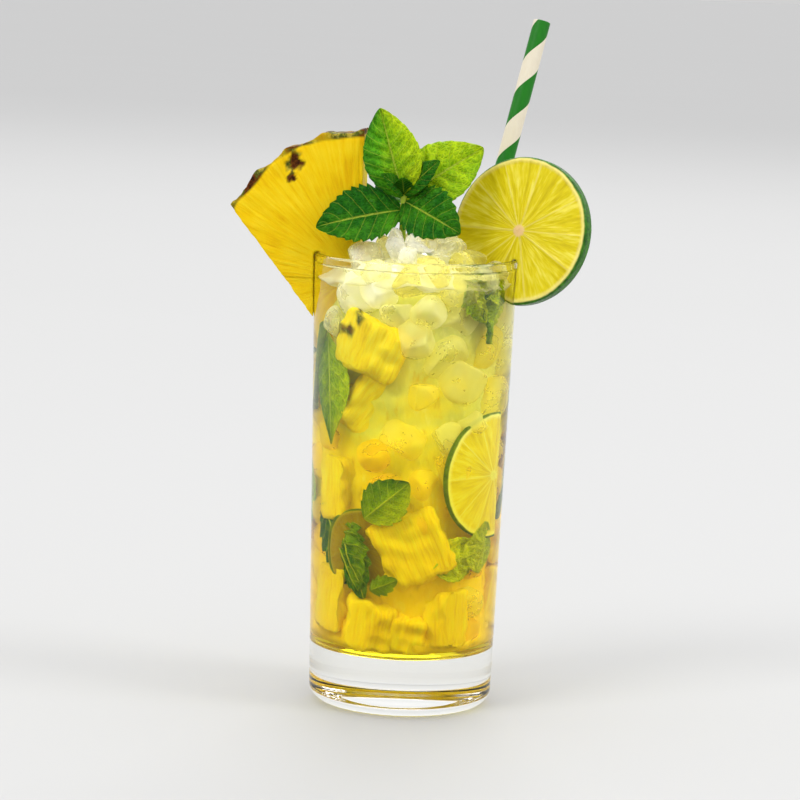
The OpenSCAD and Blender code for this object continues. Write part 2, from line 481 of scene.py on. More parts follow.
@dataclass(frozen=True)
class PineappleFlesh:
    """Ripe pineapple: radial fibres, and brown and green rind with dark eyes.

    The pattern holds the angle about the core, the distance from it and the depth, in millimetres.
    """

    name: str = "pineapple"
    deep: Colour = (0.68, 0.36, 0.002)
    ripe: Colour = (0.80, 0.54, 0.004)
    pale: Colour = (0.85, 0.64, 0.02)
    glow: float = 0.35
    gloss: float = 0.06
    rind: tuple[tuple[float, Colour], ...] = (
        (0.36, (0.025, 0.008, 0.003)), (0.46, (0.13, 0.035, 0.005)), (0.54, (0.07, 0.10, 0.012)),
        (0.64, (0.42, 0.34, 0.05)))

    def material(self) -> bpy.types.Material:
        """The fruit's material."""
        recipe = Recipe(self.name)
        angle, radius, depth = recipe.pattern()
        fibre_at = recipe.join(recipe.times(angle, 0.55), recipe.times(radius, 0.07), depth)
        fibres = recipe.noise(fibre_at, 1.0, 5.0, 0.6)
        blotch = recipe.noise(recipe.place(), 0.07, 3.0)
        flesh = recipe.ramp(
            recipe.plus(recipe.times(fibres, 0.65), recipe.times(blotch, 0.4)),
            [(0.30, self.deep), (0.50, self.ripe), (0.72, self.pale)])
        mask = recipe.add("Attribute", out="Fac", attribute_name="rind", attribute_type="GEOMETRY")
        patch = recipe.noise(recipe.place(), 0.22, 4.0, 0.65)
        colour = recipe.mix(mask, flesh, recipe.ramp(patch, self.rind))
        relief = recipe.bump(fibres, 0.5)
        fine = recipe.bump(recipe.noise(recipe.place(), 0.9, 4.0), 0.12, relief)
        return recipe.surface(
            Base_Color=colour, Roughness=recipe.between(fibres, 0.3, 0.7, 0.28, 0.45), IOR=1.4,
            Subsurface_Weight=self.glow, Subsurface_Radius=(3.0, 1.9, 0.3), Subsurface_Scale=MM,
            Specular_IOR_Level=self.gloss, Normal=fine)


@dataclass(frozen=True)
class LimeFlesh:
    """A cut lime: rays of juice cells, a beige core and a thin dark green rind.

    The pattern holds the place on the cut face, in millimetres, and how much painted shade darkens the flesh.
    """

    name: str = "lime"
    radius: float = 25.5
    rind: float = 0.7
    pith: float = 0.8
    light: Colour = (0.82, 0.72, 0.09)
    mid: Colour = (0.70, 0.58, 0.010)
    dark: Colour = (0.56, 0.44, 0.005)
    membrane: float = 0.32
    relief: float = 0.28
    pith_colour: Colour = (0.80, 0.70, 0.24)
    skin: tuple[Colour, Colour] = ((0.012, 0.075, 0.006), (0.05, 0.20, 0.01))
    core_colour: Colour = (0.80, 0.55, 0.26)
    # Painted shade: the tint that darkens a shaded slice's flesh, standing in for shadow.
    shade_tint: Colour = (0.42, 0.36, 0.10)
    core: float = 1.7
    glow: float = 0.4
    gloss: float = 0.2

    def material(self) -> bpy.types.Material:
        """The lime's material."""
        recipe = Recipe(self.name)
        x, z, painted_shade = recipe.pattern()
        squares = recipe.plus(recipe.maths("POWER", x, 2.0), recipe.maths("POWER", z, 2.0))
        radius = recipe.maths("SQRT", squares)
        angle = recipe.maths("ARCTAN2", z, x)
        around = recipe.join(
            recipe.maths("COSINE", angle), recipe.maths("SINE", angle), recipe.times(radius, 0.010))
        rays = recipe.noise(around, 8.0, 1.5, 0.5)
        fine = recipe.noise(around, 26.0, 1.5, 0.5)
        tone = recipe.plus(recipe.times(rays, 0.6), recipe.times(fine, 0.4))
        flesh = recipe.ramp(tone, [(0.32, self.dark), (0.50, self.mid), (0.66, self.light)])
        bent = recipe.times(recipe.maths("SINE", recipe.times(angle, 3.0)), 0.1)
        turns = recipe.times(recipe.plus(angle, bent), SEGMENTS / 2)
        wall = recipe.maths("ABSOLUTE", recipe.maths("SINE", turns))
        membrane = recipe.between(recipe.times(wall, radius), 2.2, 0.7, 0.0, self.membrane)
        flesh = recipe.mix(membrane, flesh, self.pith_colour)
        wobble = recipe.times(recipe.noise(around, 3.0, 3.0), 1.2)
        out = recipe.plus(radius, wobble)
        rind_r = self.radius - self.rind
        to_pith = recipe.between(out, rind_r - self.pith - 0.4, rind_r + 0.4)
        to_rind = recipe.between(out, rind_r + 0.4, rind_r + 1.0)
        in_core = recipe.between(out, self.core + 1.4, self.core + 0.4)
        colour = recipe.mix(recipe.times(to_pith, 0.8), flesh, self.pith_colour)
        colour = recipe.mix(in_core, colour, self.core_colour)
        # Painted shade: the flesh is darkened towards a dull amber as far as the pattern asks, standing in
        # for shadow.
        colour = recipe.mix(painted_shade, colour, recipe.mix(1.0, colour, self.shade_tint, "MULTIPLY"))
        skin = recipe.ramp(recipe.noise(recipe.place(), 0.5, 3.0), [(0.3, self.skin[0]), (0.7, self.skin[1])])
        colour = recipe.mix(to_rind, colour, skin)
        pores = recipe.cells(recipe.place(), 1.1)
        relief = recipe.bump(tone, self.relief)
        relief = recipe.bump(recipe.times(pores, to_rind), 0.15, relief)
        return recipe.surface(
            Base_Color=colour, Roughness=0.25, IOR=1.4, Subsurface_Weight=self.glow,
            Subsurface_Radius=(2.5, 2.2, 0.4), Subsurface_Scale=MM, Specular_IOR_Level=self.gloss,
            Normal=relief)


@dataclass(frozen=True)
class MintLeaf:
    """A fresh mint leaf with pale veins, and a painted highlight along the fine net between its quilted
    fields.

    The pattern holds the share of the length, the share of the half width, and the painted light, from shaded
    to lit through.
    """

    name: str = "mint"
    dark: Colour = (0.008, 0.085, 0.004)
    mid: Colour = (0.06, 0.24, 0.006)
    bright: Colour = (0.29, 0.43, 0.006)
    vein: Colour = (0.40, 0.48, 0.05)
    # Painted highlight: how much lighter the fine net between the quilted fields is painted.
    lit: Colour = (1.9, 1.6, 1.2)
    veins: float = 7.0
    sweep: float = 0.2
    vein_share: float = 0.5
    glow: float = 0.3
    gloss: float = 0.07

    def material(self) -> bpy.types.Material:
        """The leaf's material."""
        recipe = Recipe(self.name)
        along, across, tone = recipe.pattern()
        side = recipe.maths("ABSOLUTE", across)
        swept = recipe.minus(along, recipe.times(side, self.sweep))
        phase = recipe.maths("FRACT", recipe.times(swept, self.veins))
        off = recipe.maths("ABSOLUTE", recipe.minus(phase, 0.5))
        lateral = recipe.between(off, 0.44, 0.49)
        midrib = recipe.between(side, 0.055, 0.015)
        net_at = recipe.join(recipe.times(swept, 22.0), recipe.times(across, 8.0))
        net = recipe.cells(net_at, 1.0, "DISTANCE_TO_EDGE")
        small = recipe.between(net, 0.14, 0.02)
        lines = recipe.maths("MAXIMUM", recipe.times(lateral, 0.6), recipe.times(midrib, 1.4))
        shade = recipe.plus(tone, recipe.drift(recipe.place(), 0.18, 4.0, 0.7))
        # Painted light: the pattern's tone sets how dark or bright the leaf is painted.
        blade = recipe.ramp(shade, [(0.08, self.dark), (0.45, self.mid), (0.92, self.bright)])
        # Painted highlight: the fine net between the quilted fields is painted lighter, as light on their
        # edges.
        lit = recipe.mix(1.0, blade, self.lit, "MULTIPLY")
        blade = recipe.mix(recipe.times(small, 0.5), blade, lit)
        colour = recipe.mix(recipe.times(lines, self.vein_share), blade, self.vein)
        height = recipe.minus(recipe.between(net, 0.0, 0.35), recipe.times(lines, 0.6))
        return recipe.surface(
            Base_Color=colour, Roughness=0.36, IOR=1.45, Subsurface_Weight=self.glow,
            Subsurface_Radius=(0.9, 1.3, 0.15), Subsurface_Scale=MM, Specular_IOR_Level=self.gloss,
            Normal=recipe.bump(height, 0.30))


@dataclass(frozen=True)
class StripedPaper:
    """Smooth wound paper with one green and one cream band.

    The pattern holds the direction from the straw's axis and the distance below its top, in
    millimetres.
    """

    lead: float = 24.1
    first_band: float = 1.2
    green: Colour = (0.003, 0.115, 0.004)
    light_green: Colour = (0.014, 0.20, 0.008)
    cream: Colour = (0.70, 0.64, 0.51)
    worn_cream: Colour = (0.62, 0.52, 0.36)

    def material(self) -> bpy.types.Material:
        """The paper's material."""
        recipe = Recipe("paper_straw")
        x, y, below = recipe.pattern()
        turns = recipe.maths("DIVIDE", recipe.maths("ARCTAN2", y, x), math.tau)
        down = recipe.maths("DIVIDE", recipe.minus(below, self.first_band), self.lead)
        band = recipe.maths("FRACT", recipe.plus(recipe.plus(down, turns), 8.0))
        edge = recipe.maths("ABSOLUTE", recipe.minus(band, 0.5))
        is_cream = recipe.between(recipe.maths("ABSOLUTE", recipe.minus(band, 0.25)), 0.255, 0.245)
        weave = recipe.noise(recipe.place((1.0, 1.0, 0.3)), 0.8, 5.0, 0.65)
        green = recipe.mix(weave, self.green, self.light_green)
        cream = recipe.mix(recipe.between(weave, 0.3, 0.8, 0.0, 0.25), self.cream, self.worn_cream)
        colour = recipe.mix(is_cream, green, cream)
        seam = recipe.between(edge, 0.485, 0.5)
        relief = recipe.bump(seam, -0.08, recipe.bump(weave, 0.05))
        return recipe.surface(
            Base_Color=colour, Roughness=0.42, IOR=1.45, Specular_IOR_Level=0.25, Normal=relief)


@dataclass(frozen=True)
class PaleFloor:
    """A plain pale studio floor."""

    colour: Colour = (0.50, 0.50, 0.495)

    def material(self) -> bpy.types.Material:
        """The floor's material."""
        recipe = Recipe("pale_floor")
        grain = recipe.noise(recipe.place(), 0.002, 2.0)
        colour = recipe.mix(grain, self.colour, tuple(c * 0.98 for c in self.colour))
        return recipe.surface(Base_Color=colour, Roughness=0.7, IOR=1.4)


# ---------------------------------------------------------------------------------------------
# Mesh helpers
# ---------------------------------------------------------------------------------------------


def arc(centre: Point, radius: float, start: float, stop: float, steps: int) -> list[Point]:
    """Points along an arc.

    Args:
        centre: Its middle, as distance from the axis and height.
        radius: Its radius.
        start: The angle of its first point, in degrees.
        stop: The angle of its last point.
        steps: The number of stretches.

    Returns:
        The points.
    """
    angles = [math.radians(start + (stop - start) * i / steps) for i in range(steps + 1)]
    return [(centre[0] + radius * math.cos(a), centre[1] + radius * math.sin(a)) for a in angles]


def stretch(start: Point, stop: Point, longest: float) -> list[Point]:
    """Points between two ends, without the ends, close together near them.

    Args:
        start: The first end.
        stop: The last end.
        longest: The longest step.

    Returns:
        The points.
    """
    length = math.dist(start, stop)
    steps = max(3, round(length / longest))
    shares = [END_STEP / length, *(i / steps for i in range(1, steps)), 1.0 - END_STEP / length]
    return [(start[0] + (stop[0] - start[0]) * s, start[1] + (stop[1] - start[1]) * s) for s in shares]


def turned(profile: Sequence[Point], steps: int) -> bmesh.types.BMesh:
    """Turn a profile about the upright axis into a closed solid.

    Args:
        profile: Distances from the axis and heights, closed by the axis or by itself.
        steps: The number of steps round.

    Returns:
        The solid.
    """
    bm = bmesh.new()
    points = [bm.verts.new((r, 0.0, z)) for r, z in profile]
    edges = [bm.edges.new(pair) for pair in zip(points, points[1:])]
    if profile[0][0] > 0.0:
        edges.append(bm.edges.new((points[-1], points[0])))
    bmesh.ops.spin(
        bm, geom=points + edges, cent=(0, 0, 0), axis=(0, 0, 1), angle=math.tau, steps=steps, use_merge=True)
    bmesh.ops.remove_doubles(bm, verts=bm.verts, dist=1e-4)
    bmesh.ops.recalc_face_normals(bm, faces=bm.faces)
    return bm


def finish_piece(
        bm: bmesh.types.BMesh, name: str, material: bpy.types.Material,
) -> bpy.types.Object:
    """Bring a mesh to metres and make it a piece of the object.

    Args:
        bm: The mesh, in millimetres, in place. It is freed.
        name: The piece's name.
        material: Its material.

    Returns:
        The piece.
    """
    bmesh.ops.transform(bm, matrix=Matrix.Scale(MM, 4), verts=bm.verts)
    mesh = bpy.data.meshes.new(name)
    bm.to_mesh(mesh)
    bm.free()
    mesh.materials.append(material)
    mesh.shade_smooth()
    piece = bpy.data.objects.new(name, mesh)
    bpy.context.scene.collection.objects.link(piece)
    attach(piece, "root")
    triangles = sum(len(p.vertices) - 2 for p in mesh.polygons)
    LOG.info("%s: %d triangles", name, triangles)
    return piece


def set_pattern(bm: bmesh.types.BMesh, rule: Callable[[Vector], tuple[float, float, float]]) -> None:
    """Store a place in the pattern for each point of a mesh.

    Args:
        bm: The mesh.
        rule: What gives the place in the pattern from the point.
    """
    layer = bm.verts.layers.float_vector.new("pattern")
    for vert in bm.verts:
        vert[layer] = rule(vert.co)


def add_copy(bm: bmesh.types.BMesh, mesh: bpy.types.Mesh, place: Matrix) -> None:
    """Add a mesh to a larger one.

    Args:
        bm: The larger mesh.
        mesh: What is added.
        place: Where it goes.
    """
    start = len(bm.verts)
    bm.from_mesh(mesh)
    bm.verts.ensure_lookup_table()
    bmesh.ops.transform(bm, matrix=place, verts=bm.verts[start:])


def as_mesh(bm: bmesh.types.BMesh, name: str) -> bpy.types.Mesh:
    """Keep a mesh aside for copies. The bmesh is freed.

    Args:
        bm: The mesh.
        name: What it is called.

    Returns:
        The kept mesh.
    """
    mesh = bpy.data.meshes.new(name)
    bm.to_mesh(mesh)
    bm.free()
    return mesh


def remeshed_node(node: str, voxel: float) -> bmesh.types.BMesh:
    """An even mesh over a solid of the construction.

    Args:
        node: The solid's name.
        voxel: The size of the mesh's squares, in millimetres.

    Returns:
        The mesh, in millimetres.
    """
    bm = bmesh.new()
    bm.from_mesh(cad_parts[node].data)
    bmesh.ops.remove_doubles(bm, verts=bm.verts, dist=1e-7)
    source = bpy.data.objects.new(node + "_even", as_mesh(bm, node + "_even"))
    bpy.context.scene.collection.objects.link(source)
    remesh = source.modifiers.new("even", "REMESH")
    remesh.mode = "VOXEL"
    remesh.voxel_size = voxel * MM
    evaluated = source.evaluated_get(bpy.context.evaluated_depsgraph_get())
    even = bmesh.new()
    even.from_mesh(evaluated.to_mesh())
    bpy.data.objects.remove(source)
    bmesh.ops.transform(even, matrix=Matrix.Scale(1 / MM, 4), verts=even.verts)
    even.normal_update()
    return even


def turn(degrees: float, axis: str) -> Matrix:
    """A turn about an axis.

    Args:
        degrees: How far.
        axis: X, Y or Z.

    Returns:
        The turn.
    """
    return Matrix.Rotation(math.radians(degrees), 4, axis)


def round_axis(out: float, angle: float, z: float) -> Vector:
    """The place at a distance from the upright axis, at an angle and a height.

    Args:
        out: Distance from the axis.
        angle: Angle from the X axis, in radians.
        z: Height.

    Returns:
        The place.
    """
    return Vector((out * math.cos(angle), out * math.sin(angle), z))


def any_direction(rng: random.Random) -> Vector:
    """A vector that may point any way.

    Args:
        rng: Where its random numbers come from.

    Returns:
        The vector, of any length.
    """
    return Vector((rng.gauss(0, 1), rng.gauss(0, 1), rng.gauss(0, 1)))


def soften(bm: bmesh.types.BMesh, factor: float) -> None:
    """Smooth a mesh once.

    Args:
        bm: The mesh.
        factor: How far each point moves to the middle of its neighbours.
    """
    bmesh.ops.smooth_vert(
        bm, verts=bm.verts, factor=factor, use_axis_x=True, use_axis_y=True, use_axis_z=True)


def smooth_step(value: float, low: float, high: float) -> float:
    """A value brought smoothly to 0 to 1 between two bounds, of which the first may be the larger.

    Args:
        value: The value.
        low: Where it starts to count.
        high: Where it counts in full.

    Returns:
        A number from 0 to 1.
    """
    share = min(1.0, max(0.0, (value - low) / (high - low)))
    return share * share * (3.0 - 2.0 * share)


# ---------------------------------------------------------------------------------------------
# Glass and drink
# ---------------------------------------------------------------------------------------------


@dataclass
class TallGlass:
    """A straight tall glass with a heavy base and a shallow hollow underneath."""

    drawn_height: float = 156.0
    drawn_rim_r: float = 35.0
    foot_r: float = 31.6
    wall: float = 2.0
    base: float = 20.0
    foot_round: float = 5.5
    floor_round: float = 5.0
    hollow_r: float = 20.0
    hollow_depth: float = 1.8
    steps: int = 160
    height: float = field(init=False)
    rim_r: float = field(init=False)
    lean: float = field(init=False)

    def __post_init__(self) -> None:
        """Take the height and the rim from the construction."""
        self.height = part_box("glass")[1].z / MM
        self.rim_r = self.drawn_rim_r * self.height / self.drawn_height
        self.lean = math.degrees(math.atan((self.rim_r - self.foot_r) / self.height))

    def outer(self, z: float) -> float:
        """Outer radius at a height.

        Args:
            z: The height.

        Returns:
            The radius.
        """
        return self.foot_r + z * math.tan(math.radians(self.lean))

    def inner(self, z: float) -> float:
        """Inner radius at a height.

        Args:
            z: The height.

        Returns:
            The radius.
        """
        return self.outer(z) - self.wall

    def room_at(self, z: float) -> float:
        """Radius of the space inside at a height, with its rounded floor.

        Args:
            z: The height.

        Returns:
            The radius.
        """
        below = max(0.0, self.base + self.floor_round - z)
        centre = self.inner(self.base + self.floor_round) - self.floor_round
        if below == 0.0:
            return self.inner(z)
        return centre + math.sqrt(max(0.0, self.floor_round ** 2 - below ** 2))

    def press_inside(self, bm: bmesh.types.BMesh, gap: float, top: float) -> None:
        """Press whatever reaches past the space inside flat against its wall, floor or top.

        Args:
            bm: The mesh.
            gap: Distance kept from the glass.
            top: The greatest height.
        """
        for vert in bm.verts:
            vert.co.z = min(top, max(self.base + gap, vert.co.z))
            furthest, out = self.room_at(vert.co.z) - gap, math.hypot(vert.co.x, vert.co.y)
            if out > furthest:
                vert.co.xy *= furthest / out

    def corner(self, wall_r: float, floor_z: float, radius: float) -> Point:
        """Middle of a rounded corner between a floor and a wall.

        Args:
            wall_r: The wall's radius at the corner.
            floor_z: Height of the floor.
            radius: How round the corner is.

        Returns:
            The middle of its arc.
        """
        return wall_r - radius / math.cos(math.radians(self.lean)), floor_z + radius

    def inside(self, reach: float, top: float) -> list[Point]:
        """The floor and wall of the space inside, moved out by a reach, up to a height.

        Args:
            reach: How far the outline goes into the glass.
            top: The height.

        Returns:
            The outline, from the floor up.
        """
        centre = self.corner(self.inner(self.base + self.floor_round), self.base, self.floor_round)
        corner = arc(centre, self.floor_round + reach, -90.0, -self.lean, 12)
        end = (self.inner(top) + reach, top)
        return [*corner, *stretch(corner[-1], end, 6.0), end]

    def build(self) -> bpy.types.Object:
        """Turn the glass."""
        lip = self.wall / 2
        lip_z = self.height - lip
        lip_centre = (self.outer(lip_z) - lip, lip_z)
        foot_centre = self.corner(self.outer(self.foot_round), 0.0, self.foot_round)
        foot = arc(foot_centre, self.foot_round, -90.0, -self.lean, 14)
        rim = arc(lip_centre, lip, -self.lean, 180.0 - self.lean, 14)
        cavity = self.inside(0.0, lip_z - 0.1)
        dome_r = (self.hollow_r ** 2 + self.hollow_depth ** 2) / (2 * self.hollow_depth)
        half = math.degrees(math.asin(self.hollow_r / dome_r))
        dome = arc((0.0, self.hollow_depth - dome_r), dome_r, 90.0, 90.0 - half, 12)
        dome[0] = (0.0, self.hollow_depth)
        floor = [(0.0, self.base), *stretch((0.0, self.base), cavity[0], 4.0)]
        outside = [*dome, *stretch(dome[-1], foot[0], 2.0), *foot, *stretch(foot[-1], rim[0], 6.0), *rim]
        solid = turned([*outside, *reversed(cavity), *reversed(floor)], self.steps)
        piece = finish_piece(solid, "tall_glass", ClearGlass().material())
        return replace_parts(piece, "glass")


@dataclass
class Drink:
    """The drink, which reaches just into the glass so that no air shows between them."""

    glass: TallGlass
    reach: float = 0.2
    meniscus: float = 1.0
    from_wall: tuple[float, ...] = (0.4, 0.9, 1.6, 3.0, 6.0)
    level: float = field(init=False)

    def __post_init__(self) -> None:
        """Take the level from the construction."""
        self.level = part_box("drink")[1].z / MM

    def build(self) -> bpy.types.Object:
        """Turn the drink."""
        wall = self.glass.inside(self.reach, self.level + self.meniscus)
        edge = wall[-1][0]
        surface = [(edge - d, self.level + self.meniscus * math.exp(-d)) for d in self.from_wall]
        centre = (0.0, self.level)
        floor = (0.0, self.glass.base - self.reach)
        under = [floor, *stretch(floor, wall[0], 4.0), *wall]
        body = turned([*under, *surface, *stretch(surface[-1], centre, 5.0), centre], self.glass.steps)
        piece = finish_piece(body, "drink_body", Mojito().material())
        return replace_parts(piece, "drink")


@dataclass
class Pulp:
    """The pulp that clouds the middle of the drink, behind the fruit and the ice."""

    glass: TallGlass
    radius: float = 22.5
    foot_r: float = 25.0
    low: float = 20.6
    high: float = 144.0
    low_round: float = 4.0
    high_round: float = 8.0
    swell: float = 2.6
    steps: int = 108

    def build(self) -> bpy.types.Object:
        """Shape the pulp."""
        soft, round_off = self.low_round, self.high_round
        low_corner = arc((self.foot_r - soft, self.low + soft), soft, -90, 40, 6)
        high_corner = arc((self.radius - round_off, self.high - round_off), round_off, 0, 90, 8)
        profile = [(0.0, self.low), *stretch((0.0, self.low), low_corner[0], 3.0), *low_corner,
                   *stretch(low_corner[-1], high_corner[0], 2.0), *high_corner,
                   *stretch(high_corner[-1], (0.0, self.high), 3.0), (0.0, self.high)]
        bm = turned(profile, self.steps)
        for vert in bm.verts:
            out = Vector((vert.co.x, vert.co.y, 0.0)) / self.radius
            wave = noise.noise(vert.co * 0.09) + 0.4 * noise.noise(vert.co * 0.30)
            vert.co += out * self.swell * wave
        self.glass.press_inside(bm, 0.5, self.high + 3.0)
        return finish_piece(bm, "fruit_pulp", MuddledPulp().material())


# ---------------------------------------------------------------------------------------------
# Ice
# ---------------------------------------------------------------------------------------------


@dataclass(frozen=True)
class Ball:
    """The room that a lump or a piece of fruit takes."""

    centre: Vector
    radius: float
    tone: float = 0.5

    def clear_of(self, others: Iterable["Ball"], share: float) -> bool:
        """Whether this ball keeps a share of its distance from all the others.

        Args:
            others: The other balls.
            share: The share of the two radii that the middles stay apart.

        Returns:
            Whether it is clear.
        """
        return all((self.centre - o.centre).length > share * (self.radius + o.radius) for o in others)


@dataclass
class Room:
    """What is already in place, so that ice is fitted round it.

    A ball whose middle lies inside a piece is noticed down to a small depth, in millimetres.
    """

    trees: list[BVHTree] = field(default_factory=list)
    noticed: float = 4.0

    def take(self, piece: bpy.types.Object) -> None:
        """Count a piece as in place.

        Args:
            piece: The piece.
        """
        bm = bmesh.new()
        bm.from_mesh(piece.data)
        self.trees.append(BVHTree.FromBMesh(bm))
        bm.free()

    def is_free(self, ball: Ball, share: float) -> bool:
        """Whether a share of a ball is clear of everything in place.

        Args:
            ball: The ball, in millimetres.
            share: The share of its radius that has to be clear.

        Returns:
            Whether it is clear.
        """
        at = ball.centre * MM
        for tree in self.trees:
            near, normal, _, distance = tree.find_nearest(at)
            if distance < share * ball.radius * MM:
                return False
            if distance < self.noticed * MM and (at - near).dot(normal) < 0.0:
                return False
        return True


@dataclass
class LumpMould:
    """Irregular lumps of ice, made once and copied."""

    seed: int
    kinds: int = 10
    cuts: int = 9
    passes: int = 1
    flats: Point = (0.5, 0.78)
    swell: float = 0.10
    meshes: list[bpy.types.Mesh] = field(init=False)

    def __post_init__(self) -> None:
        """Make the lumps."""
        rng = random.Random(self.seed)
        self.meshes = [self.lump(rng, i) for i in range(self.kinds)]

    def lump(self, rng: random.Random, number: int) -> bpy.types.Mesh:
        """Press flat sides into a ball of unit radius.

        Args:
            rng: Where its random numbers come from.
            number: Its number.

        Returns:
            The lump.
        """
        bm = bmesh.new()
        bmesh.ops.create_icosphere(bm, subdivisions=4, radius=1.0)
        for _ in range(self.cuts):
            normal = any_direction(rng).normalized()
            reach = rng.uniform(*self.flats)
            for vert in bm.verts:
                vert.co -= normal * max(0.0, vert.co.dot(normal) - reach)
        shift = Vector((number * 7.3, 1.7, -3.1))
        for vert in bm.verts:
            vert.co *= 1.0 + self.swell * noise.noise(vert.co * 2.2 + shift)
        for _ in range(self.passes):
            soften(bm, 0.4)
        bmesh.ops.recalc_face_normals(bm, faces=bm.faces)
        return as_mesh(bm, f"lump_{self.seed}_{number}")

    def fill(
            self, balls: Sequence[Ball], rng: random.Random, shares: Point = (0.85, 1.1),
    ) -> bmesh.types.BMesh:
        """Put a lump in each ball.

        Args:
            balls: The balls.
            rng: Where the turns and sizes come from.
            shares: The least and the greatest share of the ball's radius along each axis.

        Returns:
            All the lumps in one mesh.
        """
        bm = bmesh.new()
        layer = bm.verts.layers.float_vector.new("pattern")
        for ball in balls:
            spin = Matrix.Rotation(rng.uniform(0, math.tau), 4, any_direction(rng))
            size = Matrix.Diagonal((*(ball.radius * rng.uniform(*shares) for _ in range(3)), 1.0))
            start = len(bm.verts)
            add_copy(bm, rng.choice(self.meshes), Matrix.Translation(ball.centre) @ spin @ size)
            for vert in bm.verts[start:]:
                vert[layer] = (ball.tone, 0.0, 0.0)
        return bm


@dataclass
class IceHeap:
    """The heap of crushed ice at the rim: loose lumps over a smaller core.

    The placed lumps, in front of the mint's stem, are rows of place and radius.
    """

    glass: TallGlass
    level: float
    crown: float = 10.5
    drop: float = 2.0
    lump_r: Point = (4.6, 7.6)
    tones: Point = (0.50, 0.85)
    sinks: tuple[float, ...] = (0.72, 0.72, 1.2)
    apart: float = 0.72
    room_share: float = 0.75
    tries: int = 2600
    seed: int = 11
    placed: tuple[tuple[float, float, float, float], ...] = (
        (-7.5, -15.0, 160.5, 5.6), (1.5, -14.5, 161.5, 6.0), (9.5, -13.0, 160.0, 5.4),
        (-3.0, -19.5, 156.5, 5.6))

    def top(self, share: float) -> float:
        """Height of the heap at a share of the way out.

        Args:
            share: The share of the way from the middle to the wall.

        Returns:
            The height.
        """
        return self.glass.height - self.drop + self.crown * (1.0 - share ** 2)

    def core(self) -> bpy.types.Object:
        """Pack the cloudy ice under the lumps."""
        edge = self.glass.inner(self.level - 5.0) - 3.0
        shares = [i / 14 for i in range(15)]
        roof = [(edge * s, self.top(s) - 6.5) for s in reversed(shares)]
        foot = [(0.0, self.level - 8.0), (edge * 0.6, self.level - 7.0), (edge * 0.95, self.level - 5.0)]
        bm = turned([*foot, *roof], 72)
        for vert in bm.verts:
            vert.co += vert.co.normalized() * 1.6 * noise.noise(vert.co * 0.16)
            vert.co.z += 1.8 * noise.noise(vert.co * 0.22 + Vector((5.0, 0.0, 0.0)))
        set_pattern(bm, lambda co: (0.8, 0.0, 0.0))
        finish = Ice(
            "crushed_ice_core", ior=1.1, clearness=0.55, cloud_share=0.3, rough=0.35, relief=0.5)
        piece = finish_piece(bm, "crushed_ice_core", finish.material())
        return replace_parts(piece, "crushed_ice")

    def build(self, room: Room) -> bpy.types.Object:
        """Heap up the lumps.

        Args:
            room: What stands in the ice.

        Returns:
            The lumps.
        """
        rng = random.Random(self.seed)
        edge = self.glass.inner(self.glass.height - 6.0)
        balls = [Ball(Vector((x, y, z)), radius, 1.0) for x, y, z, radius in self.placed]
        for _ in range(self.tries):
            radius = rng.uniform(*self.lump_r)
            out = (edge - radius) * math.sqrt(rng.random())
            angle = rng.uniform(0, math.tau)
            sink = rng.choice(self.sinks) * radius
            z = self.top(out / edge) - sink - 0.35 * radius * (out / edge)
            ball = Ball(round_axis(out, angle, z), radius, rng.uniform(*self.tones))
            if ball.clear_of(balls, self.apart) and room.is_free(ball, self.room_share):
                balls.append(ball)
        LOG.info("crushed ice: %d lumps", len(balls))
        bm = LumpMould(self.seed, passes=2).fill(balls, rng)
        finish = Ice(
            "crushed_ice", ior=1.2, clearness=0.92, cloud_share=0.42, rough=0.03, relief=0.15,
            cast=(1.0, 1.0, 0.96))
        piece = finish_piece(bm, "crushed_ice_lumps", finish.material())
        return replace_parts(piece, "crushed_ice")


